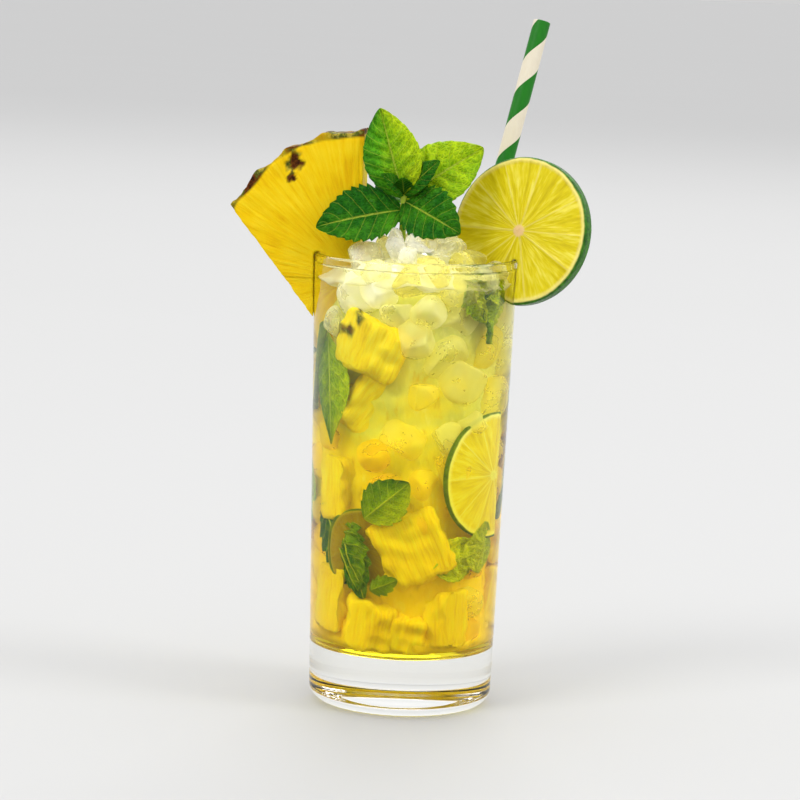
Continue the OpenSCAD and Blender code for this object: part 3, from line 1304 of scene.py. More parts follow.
@dataclass
class SunkIce:
    """The ice in the drink: large soft lumps against the front, and others wherever there is room.

    The placed lumps are rows of azimuth in degrees, height, radius and tone.
    """

    glass: TallGlass
    level: float
    wall_gap: float = 0.8
    large_r: Point = (8.5, 12.0)
    small_r: Point = (6.0, 8.5)
    apart: float = 0.68
    room_share: float = 0.6
    placed_room_share: float = 0.2
    tries: int = 6000
    seed: int = 23
    placed: tuple[tuple[float, float, float, float], ...] = (
        (-141, 145.0, 9.5, 1.15), (-116, 147.0, 8.5, 0.95), (-58, 142.0, 10.5, 0.88),
        (-102, 138.5, 6.5, 0.72), (-88, 149.0, 9.0, 0.72), (-88, 130.0, 7.5, 0.60),
        (-66, 124.0, 9.5, 0.50), (-73, 105.5, 10.5, 0.62), (-60, 96.0, 8.0, 0.60),
        (-46, 116.0, 9.5, 0.50), (-104, 117.0, 8.0, 0.40), (-95, 96.0, 9.0, 0.34),
        (-141, 88.0, 6.5, 0.80), (-158, 133.0, 6.5, 0.90), (-34, 100.0, 8.0, 0.55),
        (-33, 39.0, 7.5, 0.70), (-24, 52.0, 6.5, 0.60))

    def tone(self, z: float, rng: random.Random) -> float:
        """Tone of a loose lump: whiter towards the top.

        Args:
            z: Height of the lump.
            rng: What makes one lump differ from the next.

        Returns:
            The tone.
        """
        return 0.02 + 0.56 * smooth_step(z, 65.0, 150.0) + rng.uniform(-0.14, 0.14)

    def build(self, room: Room) -> bpy.types.Object:
        """Sink the lumps.

        Args:
            room: The fruit, the mint and the straw.

        Returns:
            The lumps.
        """
        rng = random.Random(self.seed)
        balls: list[Ball] = []
        for azimuth, z, radius, tone in self.placed:
            out = self.glass.inner(z) - self.wall_gap - radius
            ball = Ball(round_axis(out, math.radians(azimuth), z), radius, tone)
            if room.is_free(ball, self.placed_room_share):
                balls.append(ball)
        LOG.info("placed ice: %d lumps", len(balls))
        for number in range(self.tries):
            radius = rng.uniform(*(self.large_r if number < self.tries / 2 else self.small_r))
            z = rng.uniform(self.glass.base + radius, self.level - 0.7 * radius)
            furthest = self.glass.inner(z) - self.wall_gap - radius
            out = furthest * rng.uniform(0.85, 1.0)
            angle = rng.uniform(0, math.tau)
            ball = Ball(round_axis(out, angle, z), radius, self.tone(z, rng))
            if ball.clear_of(balls, self.apart) and room.is_free(ball, self.room_share):
                balls.append(ball)
        LOG.info("sunk ice: %d lumps", len(balls))
        bm = LumpMould(self.seed, cuts=6, passes=6).fill(balls, rng, (0.85, 0.99))
        self.glass.press_inside(bm, 0.7, self.level + 1.0)
        finish = Ice("sunk_ice", ior=1.04, clearness=0.74, cloud_share=0.42, rough=0.24, relief=0.06)
        return finish_piece(bm, "sunk_ice_lumps", finish.material())


# ---------------------------------------------------------------------------------------------
# Mint
# ---------------------------------------------------------------------------------------------


class Tone(Enum):
    """How a leaf is lit through, from dark to bright."""

    DARK = 0.16
    EVEN = 0.42
    LIGHT = 0.62
    BRIGHT = 0.80


@dataclass
class Leaf:
    """One mint leaf, flat along its own length, with toothed edges and quilted fields."""

    length: float
    width: float
    tone: Tone = Tone.EVEN
    # Painted light: how much lighter one half of the leaf is painted than the other, as if light fell on that
    # side.
    painted_side_light: float = 0.0
    fold: float = 0.22
    droop: float = 0.12
    teeth: float = 9.0
    tooth: float = 0.07
    puff: float = 0.9
    wrinkle: float = 0.0
    thickness: float = 0.35
    along_steps: int = 54
    across_steps: int = 26
    veins: float = 7.0
    sweep: float = 0.2
    taper: float = 0.8
    tip: float = 0.3

    def half(self, s: float) -> float:
        """Half the width at a share of the length, without teeth.

        Args:
            s: The share of the length.

        Returns:
            Half the width.
        """
        if not 0.0 < s < 1.0:
            return self.tip
        return self.tip + self.width / 2 * math.sin(math.pi * s ** 0.85) ** self.taper

    def point(self, s: float, t: float) -> Vector:
        """Place of a point of the leaf.

        Args:
            s: Its share of the length.
            t: Its share of the half width, from -1 to 1.

        Returns:
            The place, with the length along X.
        """
        saw = (self.teeth * s) % 1.0
        toothed = 1.0 + self.tooth * (saw - 0.6) * abs(t) ** 4
        across = t * self.half(s) * toothed
        phase = (self.veins * (s - self.sweep * abs(t))) % 1.0
        field_height = math.sin(math.pi * phase) ** 0.7 * min(1.0, abs(t) * 5.0) * (1.0 - abs(t) ** 5)
        ends = math.sin(math.pi * s) ** 0.5 if 0.0 < s < 1.0 else 0.0
        small = noise.noise(Vector((s * 9.0, across * 0.35, self.length))) * 0.5
        creased = self.wrinkle * noise.noise(Vector((s * 3.0, t * 2.5, self.width)))
        height = self.fold * abs(across) - self.droop * self.length * s * s
        height += self.puff * ends * (field_height + small * min(1.0, abs(t) * 4.0)) + creased
        return Vector((self.length * s, across, height))

    def build(self) -> bpy.types.Mesh:
        """Shape the leaf."""
        bm = bmesh.new()
        bmesh.ops.create_grid(bm, x_segments=self.along_steps, y_segments=self.across_steps, size=1.0)
        layer = bm.verts.layers.float_vector.new("pattern")
        for vert in bm.verts:
            s, t = (vert.co.x + 1.0) / 2.0, vert.co.y
            # The pattern's third number is painted light: the leaf's tone, lighter on one side.
            vert[layer] = (s, t, self.tone.value + self.painted_side_light * t)
            vert.co = self.point(s, t)
        bmesh.ops.solidify(bm, geom=bm.faces[:], thickness=self.thickness)
        bmesh.ops.recalc_face_normals(bm, faces=bm.faces)
        return as_mesh(bm, "leaf")


@dataclass(frozen=True)
class LeafPlace:
    """Where a leaf of the sprig grows, and how it is turned."""

    drop: float
    direction: float
    rise: float
    roll: float
    leaf: Leaf


@dataclass
class MintSprig:
    """The sprig that stands in the ice."""

    left: float = 5.0
    front: float = 9.0
    stem_d: float = 2.6
    over_rim: float = 21.0
    rows: list[LeafPlace] = field(init=False)

    def __post_init__(self) -> None:
        """Lay out the leaves."""
        blade = {"tooth": 0.04, "puff": 1.5}
        small = {"along_steps": 24, "across_steps": 12, "puff": 0.4}
        self.rows = [
            LeafPlace(1.0, 168, 72, -82, Leaf(31.5, 19.3, Tone.LIGHT, -0.42, veins=8.0, **blade)),
            LeafPlace(1.0, 12, 35, 66, Leaf(32.9, 21.0, Tone.BRIGHT, 0.06, **blade)),
            LeafPlace(5.0, 190, -9, -54, Leaf(
                30.0, 21.5, Tone.DARK, 0.10, tooth=0.14, teeth=11, along_steps=88)),
            LeafPlace(2.0, -34, -20, 58, Leaf(
                23.8, 19.0, Tone.DARK, 0.04, tooth=0.14, along_steps=72)),
            LeafPlace(0.0, -16, 50, 60, Leaf(16.8, 9.6, Tone.DARK, 0.02, along_steps=30, across_steps=14)),
            LeafPlace(0.0, 212, 44, -50, Leaf(
                11.0, 8.0, Tone.DARK, along_steps=28, across_steps=12, puff=0.5, tooth=0.2)),
            LeafPlace(-0.5, 262, 52, 8, Leaf(8.0, 5.6, Tone.DARK, tooth=0.2, **small)),
            LeafPlace(3.0, 88, 4, 10, Leaf(24.5, 15.5)),
            LeafPlace(0.0, 75, 78, 20, Leaf(9.1, 5.4, Tone.DARK, **small)),
        ]

    def stem(self, bm: bmesh.types.BMesh, low: float, high: float) -> None:
        """Grow the stem.

        Args:
            bm: The sprig's mesh.
            low: Height of its foot.
            high: Height of its top.
        """
        stem = bmesh.new()
        bmesh.ops.create_cone(
            stem, cap_ends=True, segments=16, radius1=self.stem_d / 2, radius2=self.stem_d / 2 * 0.8,
            depth=high - low)
        bmesh.ops.subdivide_edges(stem, edges=[e for e in stem.edges if e.calc_length() > 5.0], cuts=16)
        for vert in stem.verts:
            ridge = 1.0 + 0.10 * math.cos(4.0 * math.atan2(vert.co.y, vert.co.x))
            vert.co.xy *= ridge * (1.0 - 0.12 * abs(math.sin(vert.co.z * 0.5)))
        set_pattern(stem, lambda co: (0.5, 0.0, 0.5))
        add_copy(bm, as_mesh(stem, "stem"), Matrix.Translation((-self.left, -self.front, (low + high) / 2)))

    def build(self) -> bpy.types.Object:
        """Put the leaves on their stem."""
        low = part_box("mint_sprig")[0]
        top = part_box("glass")[1].z / MM + self.over_rim
        bm = bmesh.new()
        bm.verts.layers.float_vector.new("pattern")
        self.stem(bm, low.z / MM, top)
        for row in self.rows:
            place = Matrix.Translation((-self.left, -self.front, top - row.drop))
            place @= turn(row.direction, "Z") @ turn(-row.rise, "Y") @ turn(row.roll, "X")
            add_copy(bm, row.leaf.build(), place)
        piece = finish_piece(bm, "mint_sprig_leaves", MintLeaf().material())
        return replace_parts(piece, "mint_sprig")


def flat_leaf(length: float, width: float, tone: Tone, painted_side_light: float, **shape: float) -> Leaf:
    """A leaf without droop, to lie against the glass.

    Args:
        length: Its length.
        width: Its width.
        tone: How it is lit through.
        painted_side_light: How much lighter one half is painted than the other, as painted light.
        **shape: Other sizes of the leaf.

    Returns:
        The leaf.
    """
    return Leaf(length, width, tone, painted_side_light, droop=0.0, **shape)


@dataclass(frozen=True)
class SunkLeaf:
    """A leaf that lies against the inside of the glass."""

    azimuth: float
    height: float
    spin: float
    leaf: Leaf
    depth: float = 1.2


@dataclass
class SunkMint:
    """The mint in the drink."""

    glass: TallGlass
    wall_gap: float = 0.3
    rows: list[SunkLeaf] = field(init=False)

    def __post_init__(self) -> None:
        """Lay out the leaves."""
        whole = {"puff": 0.8}
        crushed = {"puff": 1.8, "wrinkle": 4.0, "tooth": 0.4}
        self.rows = [
            SunkLeaf(-148, 111, -86, flat_leaf(
                38, 17.5, Tone.EVEN, 0.20, puff=0.5, fold=0.1, tooth=0.05, taper=1.3)),
            SunkLeaf(-103, 75.0, 42, flat_leaf(
                20, 15.5, Tone.EVEN, -0.3, puff=0.7, fold=0.1, tooth=0.14, teeth=6)),
            SunkLeaf(-137, 57, -58, flat_leaf(
                33, 19, Tone.DARK, 0.1, puff=1.4, wrinkle=1.6, tooth=0.26, teeth=7), 1.4),
            SunkLeaf(-128, 54, -66, flat_leaf(
                29, 13, Tone.DARK, 0.1, puff=1.4, wrinkle=2.2, tooth=0.3, teeth=6), 1.8),
            SunkLeaf(-103, 46, 25, flat_leaf(10, 6.5, Tone.EVEN, 0.0, puff=0.4, tooth=0.3, teeth=4)),
            SunkLeaf(-36, 149, -40, flat_leaf(22, 11, Tone.LIGHT, -0.3, teeth=6, **crushed), 4.0),
            SunkLeaf(-28, 141, -100, flat_leaf(26, 10, Tone.LIGHT, 0.4, teeth=7, **crushed), 4.0),
            SunkLeaf(-46, 142, -60, flat_leaf(
                15, 8, Tone.BRIGHT, 0.3, puff=1.5, wrinkle=3.4, tooth=0.4, teeth=5), 4.5),
            SunkLeaf(-50, 55, 15, flat_leaf(22, 15, Tone.BRIGHT, 0.1, puff=1.4, wrinkle=2.4), 2.5),
            SunkLeaf(-32, 58, 80, flat_leaf(18, 13, Tone.BRIGHT, 0.1, puff=1.2, wrinkle=2.0), 1.8),
            SunkLeaf(60, 70, -60, flat_leaf(30, 16, Tone.DARK, 0.1, **whole), 2.0),
            SunkLeaf(120, 105, 70, flat_leaf(34, 17, Tone.EVEN, 0.1, **whole), 2.0),
            SunkLeaf(170, 70, -100, flat_leaf(30, 15, Tone.EVEN, 0.1, **whole), 2.0),
            SunkLeaf(20, 110, 100, flat_leaf(30, 15, Tone.DARK, 0.1, **whole), 2.0),
        ]

    def laid(self, row: SunkLeaf) -> bpy.types.Mesh:
        """Bend a leaf round the inside of the glass.

        Args:
            row: The leaf and its place.

        Returns:
            The bent leaf, in place.
        """
        bm = bmesh.new()
        bm.from_mesh(row.leaf.build())
        spin = turn(row.spin, "Z") @ Matrix.Translation((-row.leaf.length / 2, 0.0, 0.0))
        bmesh.ops.transform(bm, matrix=spin, verts=bm.verts)
        for vert in bm.verts:
            z = row.height + vert.co.y
            wall = self.glass.inner(z)
            radius = min(wall - row.depth - vert.co.z, wall - self.wall_gap)
            vert.co = round_axis(radius, math.radians(row.azimuth) + vert.co.x / radius, z)
        bmesh.ops.recalc_face_normals(bm, faces=bm.faces)
        return as_mesh(bm, "laid_leaf")

    def build(self) -> bpy.types.Object:
        """Sink the leaves."""
        bm = bmesh.new()
        bm.verts.layers.float_vector.new("pattern")
        for row in self.rows:
            bm.from_mesh(self.laid(row))
        self.glass.press_inside(bm, 0.35, self.glass.height - 6.0)
        # Painted light: the sunk leaves are painted lighter than the sprig's leaves, the same mint, to stand
        # in for light inside the drink.
        finish = MintLeaf(
            "sunk_mint", dark=(0.015, 0.12, 0.004), mid=(0.22, 0.36, 0.006), bright=(0.56, 0.66, 0.02),
            vein=(0.62, 0.68, 0.10), glow=0.15, gloss=0.02)
        return finish_piece(bm, "sunk_mint_leaves", finish.material())


# ---------------------------------------------------------------------------------------------
# Fruit
# ---------------------------------------------------------------------------------------------


@dataclass
class PineappleWedge:
    """The wedge on the left of the rim, over the construction's own solid."""

    diameter: float = 102.0
    core_in: float = 16.6
    core_sink: float = 8.8
    turned_back: float = 6.0
    eye: Point = (-23.9, 38.9)
    rind: float = 2.5
    voxel: float = 0.62

    def skin(self, angle: float, radius: float, depth: float) -> float:
        """How much of the rind's skin a point shows, with bare patches.

        Args:
            angle: Its angle about the core, in degrees.
            radius: Its distance from the core.
            depth: Its distance behind the middle of the wedge.

        Returns:
            The share of skin, from 0 to 1.
        """
        ragged = noise.noise(Vector((angle * 0.12, depth * 0.2, 1.0))) * 1.1
        rind_r = self.diameter / 2 - self.rind
        skin = smooth_step(radius + ragged, rind_r, rind_r + 0.9)
        patch = noise.noise(Vector((angle * 0.09, depth * 0.12, 4.0)))
        return skin * (0.55 + 0.45 * smooth_step(patch, -0.35, 0.05))

    def eye_marks(self, flat: Vector) -> tuple[float, float]:
        """The eye on the front of the wedge.

        Args:
            flat: The point, with the core on the Y axis.

        Returns:
            How deep in the eye's pit the point lies, and how brown it is, each from 0 to 1.
        """
        wobble = noise.noise_vector(Vector((flat.x, flat.z, 0.0)) * 0.5).xy
        off = (Vector((flat.x, flat.z)) - Vector(self.eye)) + wobble * 2.2
        spot = smooth_step(math.hypot(off.x / 3.0, off.y / 3.6), 1.15, 0.75)
        tail = smooth_step(math.hypot((off.x + 0.8) / 1.5, (off.y + 5.2) / 1.2), 1.2, 0.7)
        streak = smooth_step(abs(off.x + 0.22 * off.y), 1.5, 0.4) * smooth_step(off.y, 0.0, 2.0) * 0.8
        front = smooth_step(flat.y, -5.0, -6.6)
        return spot * front, max(spot, tail, streak) * front

    def build(self, glass: TallGlass) -> bpy.types.Object:
        """Shape the wedge.

        Args:
            glass: The glass that it hangs on.

        Returns:
            The wedge.
        """
        bm = remeshed_node("pineapple_wedge", self.voxel)
        to_flat = Matrix.Translation((glass.rim_r - self.core_in, 0.0, self.core_sink - glass.height))
        to_flat @= turn(self.turned_back, "Z")
        pattern = bm.verts.layers.float_vector.new("pattern")
        rind = bm.verts.layers.float.new("rind")
        for vert in bm.verts:
            flat = to_flat @ vert.co
            radius, angle = math.hypot(flat.x, flat.z), math.degrees(math.atan2(flat.z, flat.x))
            vert[pattern] = (angle, radius, flat.y)
            skin = self.skin(angle, radius, flat.y)
            pit, dark = self.eye_marks(flat)
            vert[rind] = max(skin, dark)
            fibre = noise.noise(Vector((angle * 0.5, radius * 0.06, flat.y * 0.5)))
            knob = noise.noise(Vector((angle * 0.35, flat.y * 0.35, 9.0)))
            furrow = max(0.0, 0.18 + 0.22 * fibre + 0.25 * noise.noise(flat * 0.16))
            dug = max(0.0, furrow + 1.3 * pit + skin * (0.25 + 0.5 * knob))
            if vert.co.z <= glass.height + 1.0:
                off_wall = abs(math.hypot(vert.co.x, vert.co.y) - glass.outer(vert.co.z) + 1.0)
                dug *= smooth_step(off_wall, 1.4, 3.0)
            vert.co -= vert.normal * dug
        soften(bm, 0.25)
        piece = finish_piece(bm, "pineapple_wedge_flesh", PineappleFlesh().material())
        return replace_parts(piece, "pineapple_wedge")


@dataclass(frozen=True)
class Chunk:
    """A cut block of pineapple in the drink."""

    centre: tuple[float, float, float]
    size: tuple[float, float, float]
    turned: tuple[float, float, float]
    keeps_eyes: bool = False


@dataclass
class SunkPineapple:
    """The pineapple in the drink."""

    chunks: list[Chunk] = field(default_factory=lambda: [
        Chunk((2.2, -22.3, 58.5), (22.0, 10.5, 26.0), (0, -24, -4)),
        Chunk((-22.5, -13.5, 39.0), (17.0, 15.0, 22.0), (8, -12, 38)),
        Chunk((-10.0, -22.0, 31.0), (15.0, 11.0, 17.0), (5, 7, 14)),
        Chunk((14.0, -20.5, 33.5), (16.0, 11.0, 18.0), (-4, -9, -26)),
        Chunk((2.5, -21.5, 28.5), (12.0, 9.0, 12.0), (10, 12, -6)),
        Chunk((-21.5, -14.5, 77.0), (13.0, 11.0, 20.0), (0, -6, 38)),
        Chunk((-14.5, -23.5, 127.0), (24.0, 8.0, 20.0), (0, 22, 3), keeps_eyes=True),
        Chunk((-9.0, -13.0, 105.0), (25.0, 14.0, 23.0), (10, 34, 10)),
        Chunk((9.0, -4.0, 90.0), (18.0, 14.0, 16.0), (20, 30, 20)),
        Chunk((22.0, 6.0, 37.0), (16.0, 18.0, 20.0), (4, 12, 60)),
        Chunk((4.0, 20.0, 38.0), (19.0, 15.0, 20.0), (-6, 14, 10)),
        Chunk((-18.0, 14.0, 38.0), (17.0, 16.0, 21.0), (6, -9, -40)),
        Chunk((12.0, 18.0, 60.0), (20.0, 14.0, 17.0), (12, 30, -25)),
        Chunk((-12.0, 20.0, 64.0), (21.0, 13.0, 18.0), (-8, -20, 25)),
        Chunk((24.0, 8.0, 58.0), (15.0, 16.0, 14.0), (15, 10, 70)),
        Chunk((0.0, 2.0, 48.0), (19.0, 17.0, 18.0), (20, 20, 20)),
        Chunk((16.0, 17.0, 100.0), (19.0, 13.0, 18.0), (22, 30, -35)),
        Chunk((-17.0, 18.0, 92.0), (18.0, 13.0, 20.0), (-15, 20, 40)),
    ])

    def block(self, chunk: Chunk, number: int) -> bpy.types.Mesh:
        """Cut one block.

        Args:
            chunk: Its size, and whether it keeps eyes.
            number: Its number, which sets its grain.

        Returns:
            The block about its own middle.
        """
        bm = bmesh.new()
        bmesh.ops.create_cube(bm, size=1.0)
        for vert in bm.verts:
            jitter = noise.noise_vector(vert.co * 3.0 + Vector((number * 2.7, 0.0, 0.0))) * 0.17
            vert.co = Vector(a * b for a, b in zip(vert.co + jitter, chunk.size))
        bmesh.ops.bevel(
            bm, geom=bm.edges[:], offset=2.3, segments=3, profile=0.5, affect="EDGES", material=-1)
        long_edges = [e for e in bm.edges if e.calc_length() > 4.0]
        bmesh.ops.subdivide_edges(bm, edges=long_edges, cuts=11, use_grid_fill=True)
        bmesh.ops.triangulate(bm, faces=[f for f in bm.faces if len(f.verts) > 4])
        bm.normal_update()
        pattern = bm.verts.layers.float_vector.new("pattern")
        rind = bm.verts.layers.float.new("rind")
        for vert in bm.verts:
            co = vert.co.copy()
            vert[pattern] = (co.x * 2.2 + number * 31.0, co.z + 20.0, co.y)
            fibre = noise.noise(Vector((co.x * 1.1 + number, co.y * 0.8, co.z * 0.12)))
            soft = noise.noise(co * 0.25 + Vector((number * 3.1, 0, 0)))
            vert.co += vert.normal * (0.6 * fibre + 1.6 * soft)
            vert[rind] = self.eyes(co) if chunk.keeps_eyes else 0.0
        return as_mesh(bm, "pineapple_block")

    def eyes(self, at: Vector) -> float:
        """How brown a point is, on the block that keeps some eyes of its rind.

        Args:
            at: The point, from the block's middle.

        Returns:
            A number from 0 to 1.
        """
        spots = ((-7.0, 7.0, 1.3), (-10.0, 1.0, 1.1), (-6.5, 10.0, 0.6))
        wobble = noise.noise(at * 0.9) * 0.8
        return max(
            smooth_step(math.hypot(at.x - x, (at.z - z) * 0.7) + wobble, r + 0.9, r) for x, z, r in spots)

    def build(self, glass: TallGlass, level: float) -> bpy.types.Object:
        """Sink the blocks.

        Args:
            glass: The glass.
            level: Height of the top of the drink.

        Returns:
            The blocks.
        """
        bm = bmesh.new()
        for number, chunk in enumerate(self.chunks):
            place = Matrix.Translation(chunk.centre)
            place @= turn(chunk.turned[2], "Z") @ turn(chunk.turned[1], "Y") @ turn(chunk.turned[0], "X")
            add_copy(bm, self.block(chunk, number), place)
        glass.press_inside(bm, 0.9, level - 1.0)
        # Painted light: the sunk blocks are painted lighter than the wedge, the same fruit, to stand in for
        # light inside the drink.
        finish = PineappleFlesh(
            "sunk_pineapple", deep=(0.76, 0.45, 0.002), ripe=(0.96, 0.72, 0.008), pale=(0.98, 0.85, 0.06),
            glow=0.1, gloss=0.02)
        return finish_piece(bm, "sunk_pineapple_blocks", finish.material())


@dataclass
class LimeWheel:
    """The lime wheel on the right of the rim, over the construction's own solid."""

    radius: float = 25.5
    thickness: float = 5.5
    lift: float = 9.6
    out: float = 1.0
    place: float = 4.0
    turned: float = 30.0
    lean: float = 10.0
    voxel: float = 0.5

    def from_flat(self, glass: TallGlass) -> Matrix:
        """What brings a wheel about its own centre to its place on the rim.

        Args:
            glass: The glass that it hangs on.

        Returns:
            The move.
        """
        on_rim = Matrix.Translation((glass.rim_r + self.out, 0.0, glass.height + self.lift))
        return turn(-self.place, "Z") @ on_rim @ turn(self.place - self.turned, "Z") @ turn(-self.lean, "X")

    def build(self, glass: TallGlass) -> bpy.types.Object:
        """Shape the wheel.

        Args:
            glass: The glass that it hangs on.

        Returns:
            The wheel.
        """
        bm = remeshed_node("lime_wheel", self.voxel)
        to_flat = self.from_flat(glass).inverted()
        pattern = bm.verts.layers.float_vector.new("pattern")
        for vert in bm.verts:
            flat = to_flat @ vert.co
            vert[pattern] = (flat.x, flat.z, 0.0)
            radius, angle = math.hypot(flat.x, flat.z), math.atan2(flat.z, flat.x)
            on_face = smooth_step(abs(flat.y), self.thickness / 2 - 0.5, self.thickness / 2 - 0.1)
            inside = smooth_step(radius, self.radius - 1.2, self.radius - 2.2) * smooth_step(radius, 0.8, 3.0)
            wall = abs(math.sin(SEGMENTS / 2 * (angle + 0.1 * math.sin(3 * angle))))
            cells = noise.noise(Vector((math.cos(angle) * 7, math.sin(angle) * 7, radius * 0.15)))
            depth = (0.25 * smooth_step(wall, 0.05, 0.25) + 0.16 * cells + 0.1) * on_face * inside
            vert.co -= vert.normal * max(0.0, depth)
        piece = finish_piece(bm, "lime_wheel_flesh", LimeFlesh().material())
        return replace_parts(piece, "lime_wheel")


@dataclass(frozen=True)
class Slice:
    """A lime slice in the drink."""

    centre: tuple[float, float, float]
    turned: tuple[float, float, float]
    radius: float
    thickness: float = 4.0
    kept: float = 99.0
    # Painted shade: how far the flesh is darkened to stand in for shadow, from 0 to 1.
    painted_shade: float = 0.0

    @property
    def matrix(self) -> Matrix:
        """Where it lies."""
        x, y, z = self.turned
        return Matrix.Translation(self.centre) @ turn(z, "Z") @ turn(x, "X") @ turn(y, "Y")


@dataclass
class SunkLime:
    """The lime slices in the drink."""

    slices: list[Slice] = field(default_factory=lambda: [
        Slice((26.5, -10.4, 82.5), (0, 0, 48), 21.8, 2.4, 2.4),
        # This slice is painted in shade.
        Slice((-14.0, -20.5, 57.5), (4, -20, -8), 13.5, 2.4, painted_shade=1.0),
        Slice((-2.0, 19.0, 112.0), (12, 0, 5), 22.0),
        Slice((17.0, 15.0, 78.0), (-14, 0, -50), 20.0),
        Slice((-20.0, 10.0, 120.0), (8, 0, 62), 20.0),
    ])

    def disc(self, radius: float, thickness: float, kept: float, painted_shade: float) -> bpy.types.Mesh:
        """Turn one slice with a rounded edge.

        Args:
            radius: Its radius.
            thickness: Its thickness.
            kept: How far to the right of its middle it is kept, past which it is cut off.
            painted_shade: How much painted shade darkens its flesh, from 0 to 1.

        Returns:
            The slice about its own middle, facing along Y.
        """
        half, corner = thickness / 2, 1.0
        low = arc((radius - corner, corner - half), corner, -90, 0, 4)
        high = arc((radius - corner, half - corner), corner, 0, 90, 4)
        profile = [(0.0, -half), *stretch((0.0, -half), low[0], 1.2), *low, *high,
                   *stretch(high[-1], (0.0, half), 1.2), (0.0, half)]
        bm = turned(profile, 96)
        bmesh.ops.transform(bm, matrix=turn(90, "X"), verts=bm.verts)
        cut = bmesh.ops.bisect_plane(
            bm, geom=[*bm.verts, *bm.edges, *bm.faces], plane_co=(kept, 0, 0), plane_no=(1, 0, 0),
            clear_outer=True)
        bmesh.ops.holes_fill(bm, edges=[e for e in cut["geom_cut"] if isinstance(e, bmesh.types.BMEdge)])
        scale = LimeFlesh().radius / radius
        set_pattern(bm, lambda co: (co.x * scale, co.z * scale, painted_shade))
        for vert in bm.verts:
            angle, out = math.atan2(vert.co.z, vert.co.x), math.hypot(vert.co.x, vert.co.z)
            inner = smooth_step(out, radius - 1.2, radius - 2.4) * smooth_step(out, 0.5, 3.0)
            cells = noise.noise(Vector((math.cos(angle) * 7, math.sin(angle) * 7, out * 0.15 + radius)))
            vert.co.y -= math.copysign(1.0, vert.co.y) * inner * (0.2 + 0.2 * cells)
        return as_mesh(bm, "lime_slice")

    def build(self, glass: TallGlass, level: float) -> bpy.types.Object:
        """Sink the slices.

        Args:
            glass: The glass.
            level: Height of the top of the drink.

        Returns:
            The slices.
        """
        bm = bmesh.new()
        for row in self.slices:
            add_copy(bm, self.disc(row.radius, row.thickness, row.kept, row.painted_shade), row.matrix)
        glass.press_inside(bm, 0.6, level - 1.0)
        # Painted light: the sunk slices are painted lighter than the wheel, the same fruit, to stand in for
        # light inside the drink.
        finish = LimeFlesh(
            "sunk_lime", rind=0.9, pith=1.5, light=(0.90, 0.80, 0.12), mid=(0.84, 0.68, 0.015),
            dark=(0.70, 0.52, 0.006), pith_colour=(0.96, 0.93, 0.48), core_colour=(0.93, 0.88, 0.42),
            membrane=0.45, glow=0.1, gloss=0.02, skin=((0.06, 0.12, 0.006), (0.16, 0.24, 0.01)))
        return finish_piece(bm, "sunk_lime_slices", finish.material())


# ---------------------------------------------------------------------------------------------
# Straw
# ---------------------------------------------------------------------------------------------


@dataclass
class Straw:
    """A wound paper straw that leans on the rim."""

    glass: TallGlass
    diameter: float = 6.0
    wall: float = 0.4
    length: float = 225.0
    azimuth: float = 40.0
    foot: float = 11.0
    gap: float = 0.2
    sides: int = 48

    @property
    def lean(self) -> float:
        """Its lean from upright, in degrees."""
        rise = self.glass.height - self.glass.base
        reach = self.glass.inner(self.glass.height) - self.gap + self.foot
        first = math.atan((reach - self.diameter / 2) / rise)
        return math.degrees(math.atan((reach - self.diameter / 2 / math.cos(first)) / rise))

    @property
    def matrix(self) -> Matrix:
        """What brings a straw on the origin to its place."""
        foot_z = self.glass.base + self.gap + self.diameter / 2 * math.sin(math.radians(self.lean))
        return turn(self.azimuth, "Z") @ Matrix.Translation((-self.foot, 0.0, foot_z)) @ turn(self.lean, "Y")

    def build(self) -> bpy.types.Object:
        """Wind the straw."""
        outer, inner, soft = self.diameter / 2, self.diameter / 2 - self.wall, 0.12
        rows = [(outer - soft, 0.0), (outer, soft)]
        rows += stretch((outer, soft), (outer, self.length - soft), 5.0)
        rows += [(outer, self.length - soft), (outer - soft, self.length), (inner + soft, self.length),
                 (inner, self.length - soft)]
        rows += stretch((inner, self.length - soft), (inner, soft), 5.0)
        rows += [(inner, soft), (inner + soft, 0.0)]
        bm = turned(rows, self.sides)
        set_pattern(bm, lambda co: (co.x / outer, co.y / outer, self.length - co.z))
        bmesh.ops.transform(bm, matrix=self.matrix, verts=bm.verts)
        piece = finish_piece(bm, "striped_straw", StripedPaper().material())
        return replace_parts(piece, "straw")


# ---------------------------------------------------------------------------------------------
# Studio
# ---------------------------------------------------------------------------------------------


@dataclass(frozen=True)
class Softbox:
    """One large soft light, turned to the middle of the glass."""

    name: str
    place: tuple[float, float, float]
    width: float
    height: float
    power: float
    aim: tuple[float, float, float] = (0.0, 0.0, 0.11)

    def build(self) -> bpy.types.Object:
        """Hang the light."""
        light = bpy.data.lights.new(self.name, "AREA")
        light.shape = "RECTANGLE"
        light.size, light.size_y, light.energy = self.width, self.height, self.power
        lamp = bpy.data.objects.new(self.name, light)
        lamp.location = self.place
        lamp.rotation_euler = (Vector(self.aim) - Vector(self.place)).to_track_quat("-Z", "Y").to_euler()
        lamp.visible_camera = False
        bpy.context.scene.collection.objects.link(lamp)
        return lamp


